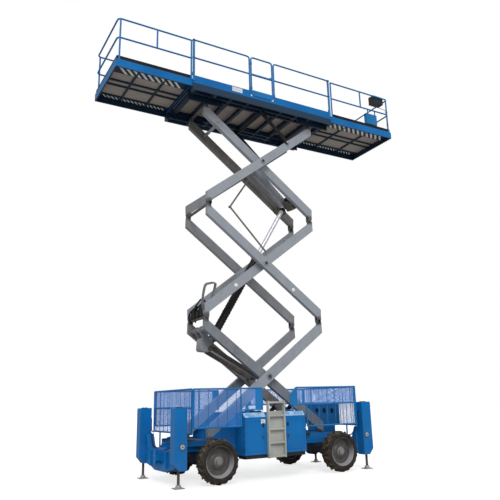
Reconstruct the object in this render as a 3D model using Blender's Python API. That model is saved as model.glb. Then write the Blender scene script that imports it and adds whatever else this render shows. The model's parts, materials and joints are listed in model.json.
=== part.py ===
"""Rough-terrain scissor lift with outriggers and two roll-out decks.

Metres, +Z up, +X towards the steering end, the ladder side is -Y.  The lift
is modelled raised, standing on its wheels and its outrigger pads.
"""
from math import asin, atan2, cos, pi, radians, sin

import bmesh
import bpy
from mathutils import Matrix, Vector

# Clearances
SEAT = 0.0003          # between two pieces that rest on each other
PIN_GAP = 0.0004       # round a pin in its bore

# Facets round a pin or a tube, and round a square-looking rail
ROUND = 12
PIN_SIDES = 16
RAIL_SIDES = 6

# Wheels and axles
AXLE_INSET = 0.51      # from the end of the chassis to an axle
TYRE_RADIUS = 0.41
TYRE_WIDTH = 0.29
TYRE_BEAD_RADIUS = 0.245
TYRE_CENTRE_Y = 1.003
LUG_HEIGHT = 0.028
LUG_COUNT = 14
LUG_LEAD = 0.052       # how far a lug's outer end trails round the tyre
HUB_DEPTH = 0.11       # how far a hub reaches inwards from the tyre's middle
AXLE_TUBE_RADIUS = 0.07
KINGPIN_Y = 0.82
KINGPIN_RADIUS = 0.028

# Scissor: every arm has the same distance between its end pins
PIN_SPAN = 3.72
BASE_PIN_Z = 0.736
LEVEL_RISE = 2.481     # height of one level as it stands
PIN_OFFSET = 0.15      # end pins lie this far off the arm's centre line
ARM_DEPTH = 0.20
ARM_WIDTH = 0.11
OUTER_ARM_Y = 0.56
INNER_ARM_Y = 0.41
EYE_RADIUS = 0.045
PIN_RADIUS = 0.02
TONGUE_WIDTH = 0.05
CHEEK_WIDTH = 0.025
CENTRE_PIN_RADIUS = 0.04
CROSS_TUBE_RADIUS = 0.032
ROLLER_RADIUS = 0.034
ROLLER_WIDTH = 0.05
LINK_WIDTH = 0.03
LINK_PIN_RADIUS = 0.022
LINK_LUG_Y = (0.268, 0.292)

# Lift cylinder, placed by its two pins along and off the lines of their arms
CYLINDER_FOOT_ALONG = 0.552
CYLINDER_FOOT_DROP = 0.293
CYLINDER_HEAD_ALONG = 0.608
BARREL_RADIUS = 0.085
BARREL_LENGTH = 2.50
ROD_RADIUS = 0.05
ROD_LENGTH = 2.50
CYLINDER_EYE_RADIUS = 0.065
CYLINDER_PIN_RADIUS = 0.03
CYLINDER_EYE_WIDTH = 0.16

# Chassis
CHASSIS_HALF_LENGTH = 1.95
RAIL_INNER_Y = 0.48
RAIL_OUTER_Y = 0.60
RAIL_BOTTOM_Z = 0.49
TRACK_DROP = 0.036     # the roller's running face lies this far under its axis
TRACK_PLATE = 0.020
TRACK_INNER_END = 1.02
TRACK_OUTER_END = CHASSIS_HALF_LENGTH - 0.045
END_BEAM_Z = (0.28, 0.62)
END_BEAM_DEPTH = 0.25
HOUSING_X = CHASSIS_HALF_LENGTH + 0.255
HOUSING_LENGTH = 0.25
HOUSING_INNER_Y = 0.85
HOUSING_OUTER_Y = 1.06
HOUSING_TOP_Z = 1.40
HOUSING_BOTTOM_Z = 0.30
LEG_SIZE = 0.13        # the square part that slides in the housing
LEG_RADIUS = 0.03
PAD_SIZE = 0.27
PAD_THICKNESS = 0.012
MODULE_X = (-0.89, 0.55)
MODULE_INNER_Y = 0.70
MODULE_OUTER_Y = 1.085
MODULE_Z = (0.47, 1.26)
LADDER_X = (-0.38, 0.02)
LADDER_OUTER_Y = 1.147
SHIELD_Y = (0.683, 0.695)   # plates beside the scissor, in line with the outer roller tracks
LADDER_Z = (0.40, 1.48)
GUARD_Y = 1.00
GUARD_END_X = CHASSIS_HALF_LENGTH - 0.02    # the side guards' corner posts
GUARD_TOP_Z = 1.75
GUARD_TUBE = 0.035
MESH_RADIUS = 0.006

# Platform
DECK_ABOVE_TOP_PIN = 0.218
MAIN_HALF_LENGTH = 1.915
MAIN_HALF_WIDTH = 0.876
MAIN_BEAM_WIDTH = 0.031
FLOOR_THICKNESS = 0.03
RAIL_HEIGHT = 1.10
RAIL_TUBE = 0.034
EXTENSION_HALF_WIDTH = 0.835
LEFT_REACH = 1.735     # how far the left deck stands out of the main deck
RIGHT_REACH = 2.09
LONG_RIB_Y = (-0.50, -0.08, 0.12)       # long ribs under a roll-out deck
DECK_OVERLAP = 0.15    # what stays inside the main deck
TOE_HEIGHT = 0.09
GATE_X = (-0.43, 0.21)

# Finishes: colour, roughness, metallic
BLUE = ((0.015, 0.16, 0.62), 0.35, 0.0)
NAVY = ((0.02, 0.035, 0.09), 0.5, 0.0)
GREY = ((0.40, 0.42, 0.45), 0.5, 0.0)
BLACK = ((0.012, 0.012, 0.014), 0.5, 0.0)
CHROME = ((0.75, 0.76, 0.78), 0.12, 1.0)
RUBBER = ((0.02, 0.018, 0.016), 0.85, 0.0)
RIM_GREY = ((0.42, 0.44, 0.46), 0.45, 0.0)
CREAM = ((0.62, 0.58, 0.46), 0.5, 0.0)
STEEL = ((0.30, 0.31, 0.33), 0.45, 0.6)

# Derived places
REST_ANGLE = asin(LEVEL_RISE / PIN_SPAN)
HALF_BODY = (PIN_SPAN ** 2 / 4 - PIN_OFFSET ** 2) ** 0.5
SKEW = atan2(PIN_OFFSET, HALF_BODY)
ARM_SLOPE = REST_ANGLE - SKEW
TOP_PIN_Z = BASE_PIN_Z + 3 * LEVEL_RISE
DECK_Z = TOP_PIN_Z + DECK_ABOVE_TOP_PIN
EXTENSION_BEAM_Z = (DECK_Z - 0.098, DECK_Z + 0.082)
TRACK_Z = BASE_PIN_Z - TRACK_DROP
RAIL_TOP_Z = TRACK_Z - TRACK_PLATE + 0.004
FRONT_X = CHASSIS_HALF_LENGTH - AXLE_INSET
SIDES = (("near", -1), ("far", 1))
HUB_FACE_Y = TYRE_CENTRE_Y - HUB_DEPTH - SEAT   # the axle's flange ends here
OUTER_FACE_Y = OUTER_ARM_Y + ARM_WIDTH / 2
INNER_FACE_Y = INNER_ARM_Y - ARM_WIDTH / 2
OUTER_WEB_Y = OUTER_FACE_Y + 0.018 + ROLLER_WIDTH
INNER_WEB_Y = INNER_ARM_Y + ARM_WIDTH / 2 + 0.018 + ROLLER_WIDTH
TOP_LUG_Y = (OUTER_FACE_Y + 0.018 + LINK_WIDTH, OUTER_FACE_Y + 0.040 + LINK_WIDTH)
PLATE_GAP = BARREL_RADIUS + 0.016               # from the middle to a clevis plate

# The chassis centre lies off the origin, so that the whole machine is centred on it
MACHINE_X = (LEFT_REACH - RIGHT_REACH) / 2

for old in list(bpy.data.objects):
    bpy.data.objects.remove(old, do_unlink=True)

machine = bpy.data.objects.new("machine", None)
machine.location.x = MACHINE_X
bpy.context.scene.collection.objects.link(machine)


# Shapes: each function returns a bmesh of one closed solid

def prism(outline, low, high, along="Y"):
    """A flat outline pushed from low to high along one axis."""
    place = {
        "X": lambda a, b, t: (t, a, b),
        "Y": lambda a, b, t: (a, t, b),
        "Z": lambda a, b, t: (a, b, t),
    }[along]
    shape = bmesh.new()
    bottom = [shape.verts.new(place(a, b, low)) for a, b in outline]
    top = [shape.verts.new(place(a, b, high)) for a, b in outline]
    shape.faces.new(bottom)
    shape.faces.new(top[::-1])
    for i in range(len(outline)):
        j = (i + 1) % len(outline)
        shape.faces.new((bottom[i], top[i], top[j], bottom[j]))
    bmesh.ops.recalc_face_normals(shape, faces=shape.faces)
    return shape


def block(x, y, z):
    """A box between three pairs of limits."""
    return prism([(x[0], y[0]), (x[1], y[0]), (x[1], y[1]), (x[0], y[1])], *z, along="Z")


def circle(centre, radius, sides=ROUND):
    """Points of a circle, the first half a step round so that flats lie on the axes."""
    turns = [(i + 0.5) * 2 * pi / sides for i in range(sides)]
    return [(centre[0] + radius * cos(t), centre[1] + radius * sin(t)) for t in turns]


def rod(start, end, radius, sides=ROUND):
    """A round bar between two points."""
    start, end = Vector(start), Vector(end)
    way = end - start
    shape = prism(circle((0, 0), radius, sides), 0, way.length, along="Z")
    turn = Vector((0, 0, 1)).rotation_difference(way).to_matrix().to_4x4()
    bmesh.ops.transform(shape, matrix=Matrix.Translation(start) @ turn, verts=shape.verts)
    return shape


def across(centre, radius, low_y, high_y, sides=ROUND):
    """A round bar along Y through a point of the XZ plane."""
    return prism(circle(centre, radius, sides), low_y, high_y)


def bore(centre, radius, low_y, high_y, sides=ROUND):
    """A cutter along Y whose flats clear a pin of the given radius."""
    return across(centre, (radius + PIN_GAP) / cos(pi / sides), low_y, high_y, sides)


def frustum(centre, height, low_half, high_half):
    """A square block that narrows from its low face to its high one."""
    shape = block((-1, 1), (-1, 1), height)
    for v in shape.verts:
        half = low_half if v.co.z < sum(height) / 2 else high_half
        v.co.x = centre[0] + v.co.x * half
        v.co.y = centre[1] + v.co.y * half
    return shape


def hull(points):
    """The convex outline round a set of points, anticlockwise."""
    points = sorted(set((round(a, 6), round(b, 6)) for a, b in points))

    def half(run):
        chain = []
        for p in run:
            while len(chain) > 1:
                (ax, ay), (bx, by) = chain[-2], chain[-1]
                if (bx - ax) * (p[1] - ay) - (by - ay) * (p[0] - ax) > 1e-9:
                    break
                chain.pop()
            chain.append(p)
        return chain[:-1]

    return half(points) + half(points[::-1])


def ring(profile, centre, sides):
    """A closed (radius, y) profile turned about an axis along Y."""
    shape = bmesh.new()
    rows = []
    for i in range(sides):
        t = 2 * pi * i / sides
        row = [(centre[0] + r * cos(t), centre[1] + y, centre[2] + r * sin(t)) for r, y in profile]
        rows.append([shape.verts.new(p) for p in row])
    for i, row in enumerate(rows):
        after = rows[(i + 1) % sides]
        for j in range(len(profile)):
            k = (j + 1) % len(profile)
            shape.faces.new((row[j], row[k], after[k], after[j]))
    bmesh.ops.recalc_face_normals(shape, faces=shape.faces)
    return shape


def both_sides(make):
    """The same piece on the near and the far side; make takes low and high Y by the side's sign."""
    return [make(side) for _, side in SIDES]


def span(side, inner, outer):
    """The Y limits of something between two distances from the middle, on one side."""
    return tuple(sorted((side * inner, side * outer)))


# Assembly: pieces are joined into one closed body and placed

def loose_object(shape):
    mesh = bpy.data.meshes.new("piece")
    shape.to_mesh(mesh)
    shape.free()
    piece = bpy.data.objects.new("piece", mesh)
    return piece


def combine(base, shapes, operation):
    """One Boolean of a base object with a whole collection of shapes."""
    group = bpy.data.collections.new("operands")
    scene = bpy.context.scene.collection
    scene.children.link(group)
    for shape in shapes:
        group.objects.link(loose_object(shape))
    step = base.modifiers.new(operation, "BOOLEAN")
    step.operation = operation
    step.operand_type = "COLLECTION"
    step.collection = group
    step.solver = "EXACT"
    graph = bpy.context.evaluated_depsgraph_get()
    graph.update()
    result = bpy.data.meshes.new_from_object(base.evaluated_get(graph))
    base.modifiers.clear()
    base.data = result
    for piece in list(group.objects):
        bpy.data.objects.remove(piece, do_unlink=True)
    bpy.data.collections.remove(group)


def finish(name, values):
    colour, roughness, metallic = values
    material = bpy.data.materials.new(name)
    material.use_nodes = True
    shader = material.node_tree.nodes["Principled BSDF"]
    shader.inputs["Base Color"].default_value = (*colour, 1)
    shader.inputs["Roughness"].default_value = roughness
    shader.inputs["Metallic"].default_value = metallic
    return material


def node(name, shapes, look, cuts=(), at=(0, 0, 0), turn=0.0, local=False):
    """Join shapes into one named object with its origin at a joint or reference point.

    Shapes are in the machine's frame, or in the piece's own frame when local.
    turn is the rise of the piece's own X axis above the horizontal.
    """
    base = loose_object(shapes[0])
    bpy.context.scene.collection.objects.link(base)
    if len(shapes) > 1:
        combine(base, shapes[1:], "UNION")
    if cuts:
        combine(base, cuts, "DIFFERENCE")
    mesh = bmesh.new()
    mesh.from_mesh(base.data)
    bmesh.ops.remove_doubles(mesh, verts=mesh.verts, dist=0.00005)
    bmesh.ops.dissolve_limit(mesh, angle_limit=radians(0.2), verts=mesh.verts, edges=mesh.edges)
    if not local:
        bmesh.ops.translate(mesh, vec=[-v for v in at], verts=mesh.verts)
    bmesh.ops.triangulate(mesh, faces=mesh.faces)
    mesh.to_mesh(base.data)
    mesh.free()
    base.name = base.data.name = name
    base.data.materials.clear()
    base.data.materials.append(finish(name, look))
    base.data.shade_smooth()
    base.data.set_sharp_from_angle(angle=radians(35))
    base.parent = machine
    base.location = at
    base.rotation_euler.y = -turn
    return base


# Wheels: lugged tyres on dished rims, front pair on steering knuckles

def tyre(name, x, side):
    """A lugged tyre; its profile is (radius, distance from the tyre's middle)."""
    tread = TYRE_RADIUS - LUG_HEIGHT
    half = TYRE_WIDTH / 2
    profile = [(TYRE_BEAD_RADIUS, -half * 0.72), (tread * 0.82, -half),
               (tread, -half * 0.74), (tread, half * 0.74),
               (tread * 0.82, half), (TYRE_BEAD_RADIUS, half * 0.72)]
    carcass = ring(profile, (0, 0, 0), 2 * LUG_COUNT)
    lugs = []
    pitch = 2 * pi / LUG_COUNT
    lug_top = (TYRE_RADIUS ** 2 - LUG_LEAD ** 2) ** 0.5
    for i in range(LUG_COUNT):
        for hand, lead in ((-1, 0.0), (1, 0.5)):
            lug = prism([(-0.022, 0.012 * hand), (0.022, 0.012 * hand),
                         (LUG_LEAD, half * 0.985 * hand), (0.004, half * 0.985 * hand)][::hand],
                        tread - 0.012, lug_top, along="Z")
            spin = Matrix.Rotation((i + lead) * pitch, 4, "Y")
            bmesh.ops.transform(lug, matrix=spin, verts=lug.verts)
            lugs.append(lug)
    place = (x, side * TYRE_CENTRE_Y, TYRE_RADIUS)
    node(name, [carcass] + lugs, RUBBER, at=place, local=True)


def rim(name, x, side):
    """A dished rim with a raised hub; the dish opens outwards."""
    half = TYRE_WIDTH / 2 * 0.72
    seat = TYRE_BEAD_RADIUS - SEAT
    lip = 0.022
    well = ring([(seat, -half), (seat, half), (seat - lip, half), (seat - lip, -half)],
                (0, 0, 0), 2 * LUG_COUNT)
    disc = across((0, 0), seat - lip + 0.004, *span(side, -0.010, 0.012), sides=20)
    hub = across((0, 0), 0.085, *span(side, -HUB_DEPTH, 0.055), sides=16)
    cap = across((0, 0), 0.055, *span(side, 0.05, 0.085))
    place = (x, side * TYRE_CENTRE_Y, TYRE_RADIUS)
    node(name, [well, disc, hub, cap], RIM_GREY, at=place, local=True)


def wheels():
    for end, x in (("rear", -FRONT_X), ("front", FRONT_X)):
        for label, side in SIDES:
            tyre(f"tyre_{end}_{label}", x, side)
            rim(f"rim_{end}_{label}", x, side)


def rear_axle():
    x = -FRONT_X
    z = TYRE_RADIUS
    tube = across((x, z), AXLE_TUBE_RADIUS, -HUB_FACE_Y + 0.04, HUB_FACE_Y - 0.04)
    shapes = [tube]
    shapes += both_sides(lambda s: across((x, z), 0.10, *span(s, HUB_FACE_Y - 0.06, HUB_FACE_Y)))
    saddle = (RAIL_INNER_Y + 0.01, RAIL_OUTER_Y - 0.01)
    shapes += both_sides(lambda s: block((x - 0.10, x + 0.10), span(s, *saddle), (z, RAIL_BOTTOM_Z - SEAT)))
    shapes.append(across((x, z), 0.13, -0.12, 0.12, sides=16))
    node("rear_axle", shapes, NAVY)


def front_axle():
    """A beam with a forked yoke at each end that holds the knuckle's kingpin."""
    x, z = FRONT_X, TYRE_RADIUS
    fork = 0.075
    shapes = [block((x - 0.06, x + 0.06), (-KINGPIN_Y + 0.09, KINGPIN_Y - 0.09), (z - 0.05, z + 0.05)),
              across((x, z), 0.12, -0.11, 0.11, sides=16)]
    for _, side in SIDES:
        yoke = (KINGPIN_Y - 0.12, KINGPIN_Y - 0.075)
        shapes.append(block((x - 0.05, x + 0.05), span(side, *yoke), (z - 0.11, z + 0.11)))
        for low, high in ((z - 0.11, z - fork), (z + fork, z + 0.11)):
            shapes.append(block((x - 0.045, x + 0.045), span(side, yoke[0], KINGPIN_Y + 0.03), (low, high)))
        shapes.append(block((x - 0.10, x + 0.10), span(side, RAIL_INNER_Y + 0.01, RAIL_OUTER_Y - 0.01),
                            (z, RAIL_BOTTOM_Z - SEAT)))
    cuts = [rod((x, s * KINGPIN_Y, z - 0.2), (x, s * KINGPIN_Y, z + 0.2),
                (KINGPIN_RADIUS + PIN_GAP) / cos(pi / PIN_SIDES), PIN_SIDES) for _, s in SIDES]
    node("front_axle", shapes, NAVY, cuts)


def knuckles():
    x, z = FRONT_X, TYRE_RADIUS
    for label, side in SIDES:
        y = side * KINGPIN_Y
        body = span(side, KINGPIN_Y - 0.055, KINGPIN_Y + 0.05)
        shapes = [block((x - 0.04, x + 0.04), body, (z - 0.068, z + 0.068)),
                  rod((x, y, z - 0.125), (x, y, z + 0.125), KINGPIN_RADIUS, PIN_SIDES),
                  across((x, z), 0.055, *span(side, KINGPIN_Y, HUB_FACE_Y)),
                  across((x, z), 0.068, *span(side, HUB_FACE_Y - 0.02, HUB_FACE_Y))]
        node(f"knuckle_{label}", shapes, STEEL, at=(x, y, z))


# Scissor arms: in its own frame an arm's body lies along X and its pins lie off the centre line

def pin_point(rising, end):
    """Where an arm's end pin lies in its own frame; end is +1 for the upper end."""
    lean = 1 if rising else -1
    return (end * lean * HALF_BODY, end * PIN_OFFSET)


def quarter_point(rising):
    """Half way from the centre to the pin at +X, where a centring link is pinned."""
    lean = 1 if rising else -1
    return (HALF_BODY / 2, lean * PIN_OFFSET / 2)


def arm_outline(rising):
    """A bar whose two ends are cut back on the side away from their pins."""
    reach, cut, half = HALF_BODY + 0.03, 0.14, ARM_DEPTH / 2
    points = [(-reach, -half), (reach - cut, -half), (reach, half), (-reach + cut, half)]
    return points if rising else [(x, -z) for x, z in points][::-1]


def lug_outline(pin):
    """A neck from the body out to the round eye about a pin."""
    way = 1 if pin[0] > 0 else -1
    up = 1 if pin[1] > 0 else -1
    base = [(pin[0] - way * 0.15, up * 0.04), (pin[0] - way * 0.03, up * 0.04)]
    return hull(circle(pin, EYE_RADIUS) + base)


def scissor_arm(name, centre, rising, outer, low_end, high_end, axis, extras=(), cuts=()):
    """A near and a far bar joined across; an end is tongue, tied (with a cross tube), fork or roller."""
    plane = OUTER_ARM_Y if outer else INNER_ARM_Y
    inside, outside = plane - ARM_WIDTH / 2, plane + ARM_WIDTH / 2
    shapes, holes = [], list(cuts)
    for _, side in SIDES:
        shapes.append(prism(arm_outline(rising), *span(side, inside, outside)))
    for end, style in ((-1, low_end), (1, high_end)):
        pin = pin_point(rising, end)
        for _, side in SIDES:
            if style == "fork":
                for low, high in ((inside, inside + CHEEK_WIDTH), (outside - CHEEK_WIDTH, outside)):
                    shapes.append(prism(lug_outline(pin), *span(side, low, high)))
                holes.append(bore(pin, PIN_RADIUS, *span(side, inside - 0.01, outside + 0.01)))
                continue
            tongue = (plane - TONGUE_WIDTH / 2, plane + TONGUE_WIDTH / 2)
            shapes.append(prism(lug_outline(pin), *span(side, *tongue)))
            if style != "roller":
                shapes.append(across(pin, PIN_RADIUS, *span(side, inside - 0.02, outside + 0.012)))
                shapes.append(across(pin, PIN_RADIUS * 1.7, *span(side, outside + 0.002, outside + 0.012)))
            else:
                shapes.append(across(pin, PIN_RADIUS, *span(side, inside - 0.02, outside + 0.02)))
                shapes.append(across(pin, ROLLER_RADIUS,
                                     *span(side, outside + 0.01, outside + 0.01 + ROLLER_WIDTH)))
        if style in ("tied", "roller"):
            shapes.append(across(pin, CROSS_TUBE_RADIUS, -inside + 0.007, inside - 0.007))
    pivot = (0, 0)
    if outer:
        reach = (inside - 0.01, outside + 0.01)
        holes += both_sides(lambda s: bore(pivot, CENTRE_PIN_RADIUS, *span(s, *reach), PIN_SIDES))
    else:
        cap = OUTER_FACE_Y + 0.003
        reach = (INNER_ARM_Y, cap + 0.01)
        shapes += both_sides(lambda s: across(pivot, CENTRE_PIN_RADIUS, *span(s, *reach), PIN_SIDES))
        shapes += both_sides(lambda s: across(pivot, CENTRE_PIN_RADIUS * 1.5, *span(s, cap, cap + 0.014)))
    shapes += extras
    slope = ARM_SLOPE if rising else -ARM_SLOPE
    for shape in shapes + holes:
        bmesh.ops.translate(shape, vec=(-axis[0], 0, -axis[1]), verts=shape.verts)
    where = (centre[0] + axis[0] * cos(slope) - axis[1] * sin(slope), 0,
             centre[1] + axis[0] * sin(slope) + axis[1] * cos(slope))
    node(name, shapes, GREY, holes, at=where, turn=slope, local=True)


def inner_tube(point, radius=CROSS_TUBE_RADIUS + 0.008):
    """A tube between the two inner bars, let 10 mm into each."""
    reach = INNER_FACE_Y + 0.01
    return across(point, radius, -reach, reach)


def along_pin_line(pin, way, distance, drop=0.0):
    """A point at a distance along the line from one end pin to the other, below it by drop."""
    line = atan2(-pin[1], -pin[0])
    x = pin[0] + distance * cos(line) + way * drop * sin(line)
    z = pin[1] + distance * sin(line) - way * drop * cos(line)
    return (x, z)


CYLINDER_FOOT = along_pin_line(pin_point(False, 1), 1, CYLINDER_FOOT_ALONG, CYLINDER_FOOT_DROP)
CYLINDER_HEAD = along_pin_line(pin_point(False, -1), 1, CYLINDER_HEAD_ALONG)
FOOT_TUBE = (CYLINDER_FOOT[0] - 0.353, CYLINDER_FOOT[1] + 0.166)


def clevis(pin, tube, radius, root, pinned=True):
    """Two plates on a cross tube that hold a cylinder's pin, or only its bosses if not pinned."""
    outline = hull(circle(pin, radius) + circle(tube, root))
    shapes = [inner_tube(tube, 0.055)]
    shapes += both_sides(lambda s: prism(outline, *span(s, PLATE_GAP, PLATE_GAP + 0.025)))
    boss = (0.0 if pinned else PLATE_GAP + 0.015, PLATE_GAP + 0.04)
    shapes += both_sides(lambda s: across(pin, CYLINDER_PIN_RADIUS, *span(s, *boss), PIN_SIDES))
    return shapes


def scissor():
    """Three levels of crossed pairs; the middle of each level is its centre pivot."""
    z = [BASE_PIN_Z + (level + 0.5) * LEVEL_RISE for level in range(3)]
    rise_low, rise_high = pin_point(True, -1), pin_point(True, 1)
    fall_low, fall_high = pin_point(False, -1), pin_point(False, 1)

    link_low = quarter_point(False)
    tip = INNER_FACE_Y - 0.069
    stub_low = both_sides(lambda s: across(link_low, LINK_PIN_RADIUS, *span(s, tip + 0.003, INNER_ARM_Y)))
    stub_low += both_sides(lambda s: across(link_low, 0.035, *span(s, tip, tip + 0.009)))
    link_high = quarter_point(True)
    tip = OUTER_FACE_Y + 0.053
    stub_high = both_sides(lambda s: across(link_high, LINK_PIN_RADIUS, *span(s, OUTER_ARM_Y, tip - 0.001)))
    stub_high += both_sides(lambda s: across(link_high, 0.035, *span(s, tip - 0.009, tip)))

    scissor_arm("arm_inner_low", (0, z[0]), False, False, "roller", "tied", link_low,
                stub_low + [inner_tube((1.35, 0)), inner_tube((0, 0))]
                + clevis(CYLINDER_FOOT, FOOT_TUBE, 0.07, 0.08))
    scissor_arm("arm_outer_low", (0, z[0]), True, True, "roller", "tongue", (0, 0))
    scissor_arm("arm_inner_middle", (0, z[1]), True, False, "fork", "tongue", rise_low,
                [inner_tube((-1.35, 0)), inner_tube((1.45, 0))])
    scissor_arm("arm_outer_middle", (0, z[1]), False, True, "fork", "tied", (0, 0))
    scissor_arm("arm_outer_high", (0, z[2]), True, True, "fork", "roller", rise_low, stub_high)
    scissor_arm("arm_inner_high", (0, z[2]), False, False, "fork", "roller", (0, 0),
                clevis(CYLINDER_HEAD, (0, 0), 0.06, 0.10, pinned=False) + [inner_tube((-1.35, 0))])


def centring_links():
    """Links of a quarter span that keep the lowest and the highest level over the middle."""
    length = PIN_SPAN / 4
    bar = hull(circle((0, 0), EYE_RADIUS) + circle((length, 0), EYE_RADIUS))
    face = INNER_FACE_Y - 0.015
    low = both_sides(lambda s: prism(bar, *span(s, face - 0.04, face)))
    low.append(across((0, 0), PIN_RADIUS, -face + 0.01, face - 0.01))
    low.append(across((0, 0), CROSS_TUBE_RADIUS, -LINK_LUG_Y[0] + 0.007, LINK_LUG_Y[0] - 0.007))
    holes = both_sides(lambda s: bore((length, 0), LINK_PIN_RADIUS, *span(s, face - 0.06, face + 0.02)))
    node("centring_link_low", low, GREY, holes, at=(0, 0, BASE_PIN_Z), turn=REST_ANGLE, local=True)

    face = OUTER_FACE_Y + 0.010
    high = both_sides(lambda s: prism(bar, *span(s, face, face + LINK_WIDTH)))
    high.append(across((0, 0), CROSS_TUBE_RADIUS * 0.8, -face - 0.01, face + 0.01))
    high += both_sides(lambda s: across((0, 0), PIN_RADIUS, *span(s, face + 0.01, TOP_LUG_Y[1] + 0.008)))
    holes = both_sides(lambda s: bore((length, 0), LINK_PIN_RADIUS, *span(s, face - 0.01, face + 0.05)))
    for shape in high + holes:
        bmesh.ops.translate(shape, vec=(-length, 0, 0), verts=shape.verts)
    quarter = (length * cos(REST_ANGLE), 0, TOP_PIN_Z - length * sin(REST_ANGLE))
    node("centring_link_high", high, GREY, holes, at=quarter, turn=-REST_ANGLE, local=True)


def arm_point(centre_z, rising, local):
    """A point of an arm's own frame, in the machine's frame."""
    slope = ARM_SLOPE if rising else -ARM_SLOPE
    return (local[0] * cos(slope) - local[1] * sin(slope),
            centre_z + local[0] * sin(slope) + local[1] * cos(slope))


def lift_cylinder():
    """One long cylinder from the lowest inner arms up to the highest."""
    foot = arm_point(BASE_PIN_Z + 0.5 * LEVEL_RISE, False, CYLINDER_FOOT)
    head = arm_point(BASE_PIN_Z + 2.5 * LEVEL_RISE, False, CYLINDER_HEAD)
    slope = atan2(head[1] - foot[1], head[0] - foot[0])
    half_eye = CYLINDER_EYE_WIDTH / 2
    barrel = [rod((0.05, 0, 0), (BARREL_LENGTH, 0, 0), BARREL_RADIUS, PIN_SIDES),
              rod((BARREL_LENGTH - 0.12, 0, 0), (BARREL_LENGTH, 0, 0), BARREL_RADIUS + 0.012, PIN_SIDES),
              across((0, 0), CYLINDER_EYE_RADIUS, -half_eye, half_eye, PIN_SIDES)]
    pin_hole = bore((0, 0), CYLINDER_PIN_RADIUS, -0.2, 0.2, PIN_SIDES)
    cuts = [rod((0.10, 0, 0), (BARREL_LENGTH + 0.1, 0, 0), ROD_RADIUS + PIN_GAP, PIN_SIDES), pin_hole]
    node("lift_cylinder_barrel", barrel, BLACK, cuts, at=(foot[0], 0, foot[1]), turn=slope, local=True)
    reach = PLATE_GAP - SEAT        # the rod's pin ends at the plates, which this pivot is opened at
    piston = [rod((-ROD_LENGTH, 0, 0), (-0.03, 0, 0), ROD_RADIUS, PIN_SIDES),
              across((0, 0), CYLINDER_EYE_RADIUS, -half_eye, half_eye, PIN_SIDES),
              across((0, 0), CYLINDER_PIN_RADIUS, -reach, reach, PIN_SIDES)]
    node("lift_cylinder_rod", piston, CHROME, at=(head[0], 0, head[1]), turn=slope, local=True)


# Chassis

def roller_track(end, web_y, base_z, up, outer_end, floor_from=0.0):
    """A channel for rollers between the track's ends; up is +1 for one that carries from below."""
    x = sorted((end * TRACK_INNER_END, end * outer_end))
    floor = sorted((base_z - up * TRACK_DROP, base_z - up * (TRACK_DROP + TRACK_PLATE)))
    keeper = sorted((base_z + up * TRACK_DROP, base_z + up * (TRACK_DROP + 0.008)))
    web = sorted((base_z - up * (TRACK_DROP + TRACK_PLATE), base_z + up * (TRACK_DROP + 0.008)))
    shapes = []
    for _, side in SIDES:
        shapes.append(block(x, span(side, floor_from or web_y - 0.065, web_y + 0.012), floor))
        shapes.append(block(x, span(side, web_y - 0.024, web_y + 0.012), keeper))
        shapes.append(block(x, span(side, web_y, web_y + 0.012), web))
    return shapes


def chassis_frame():
    length = (-CHASSIS_HALF_LENGTH, CHASSIS_HALF_LENGTH)
    height = (RAIL_BOTTOM_Z, RAIL_TOP_Z)
    shapes = both_sides(lambda s: block(length, span(s, RAIL_INNER_Y, RAIL_OUTER_Y), height))
    shapes += roller_track(-1, OUTER_WEB_Y, BASE_PIN_Z, 1, TRACK_OUTER_END, RAIL_OUTER_Y - 0.008)
    shapes += roller_track(1, INNER_WEB_Y, BASE_PIN_Z, 1, TRACK_OUTER_END)
    for part in (-0.954, -0.318, 0.0, 0.318, 0.954):
        x = part * CHASSIS_HALF_LENGTH
        reach = RAIL_INNER_Y + 0.02
        shapes.append(block((x - 0.07, x + 0.07), (-reach, reach), (RAIL_BOTTOM_Z - 0.04, 0.60)))
    lug = hull(circle((0, BASE_PIN_Z), EYE_RADIUS) + [(-0.06, 0.58), (0.06, 0.58)])
    shapes += both_sides(lambda s: prism(lug, *span(s, *LINK_LUG_Y)))
    through = (LINK_LUG_Y[0] - 0.01, LINK_LUG_Y[1] + 0.01)
    cuts = both_sides(lambda s: bore((0, BASE_PIN_Z), PIN_RADIUS, *span(s, *through)))
    shelf = (MODULE_Z[0] - 0.05, MODULE_Z[0] - SEAT)
    for x in (MODULE_X[0] + 0.12, MODULE_X[1] - 0.12):
        wide = (x - 0.03, x + 0.03)
        root = RAIL_OUTER_Y - 0.02
        shapes += both_sides(lambda s: block(wide, span(s, root, MODULE_INNER_Y + 0.30), shelf))
        shapes += both_sides(lambda s: block(wide, span(s, root, MODULE_INNER_Y - 0.005),
                                             (shelf[0], RAIL_BOTTOM_Z + 0.07)))
    shield = (-CHASSIS_HALF_LENGTH + 0.75, MODULE_X[0] + 0.03)
    tie = (MODULE_X[0] - 0.16, MODULE_X[0] - 0.06)
    shapes += both_sides(lambda s: block(shield, span(s, *SHIELD_Y), (RAIL_BOTTOM_Z - 0.04, 1.02)))
    shapes += both_sides(lambda s: block(tie, span(s, root, SHIELD_Y[1] - 0.002), (RAIL_BOTTOM_Z, 0.60)))
    node("chassis_frame", shapes, BLUE, cuts)


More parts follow.
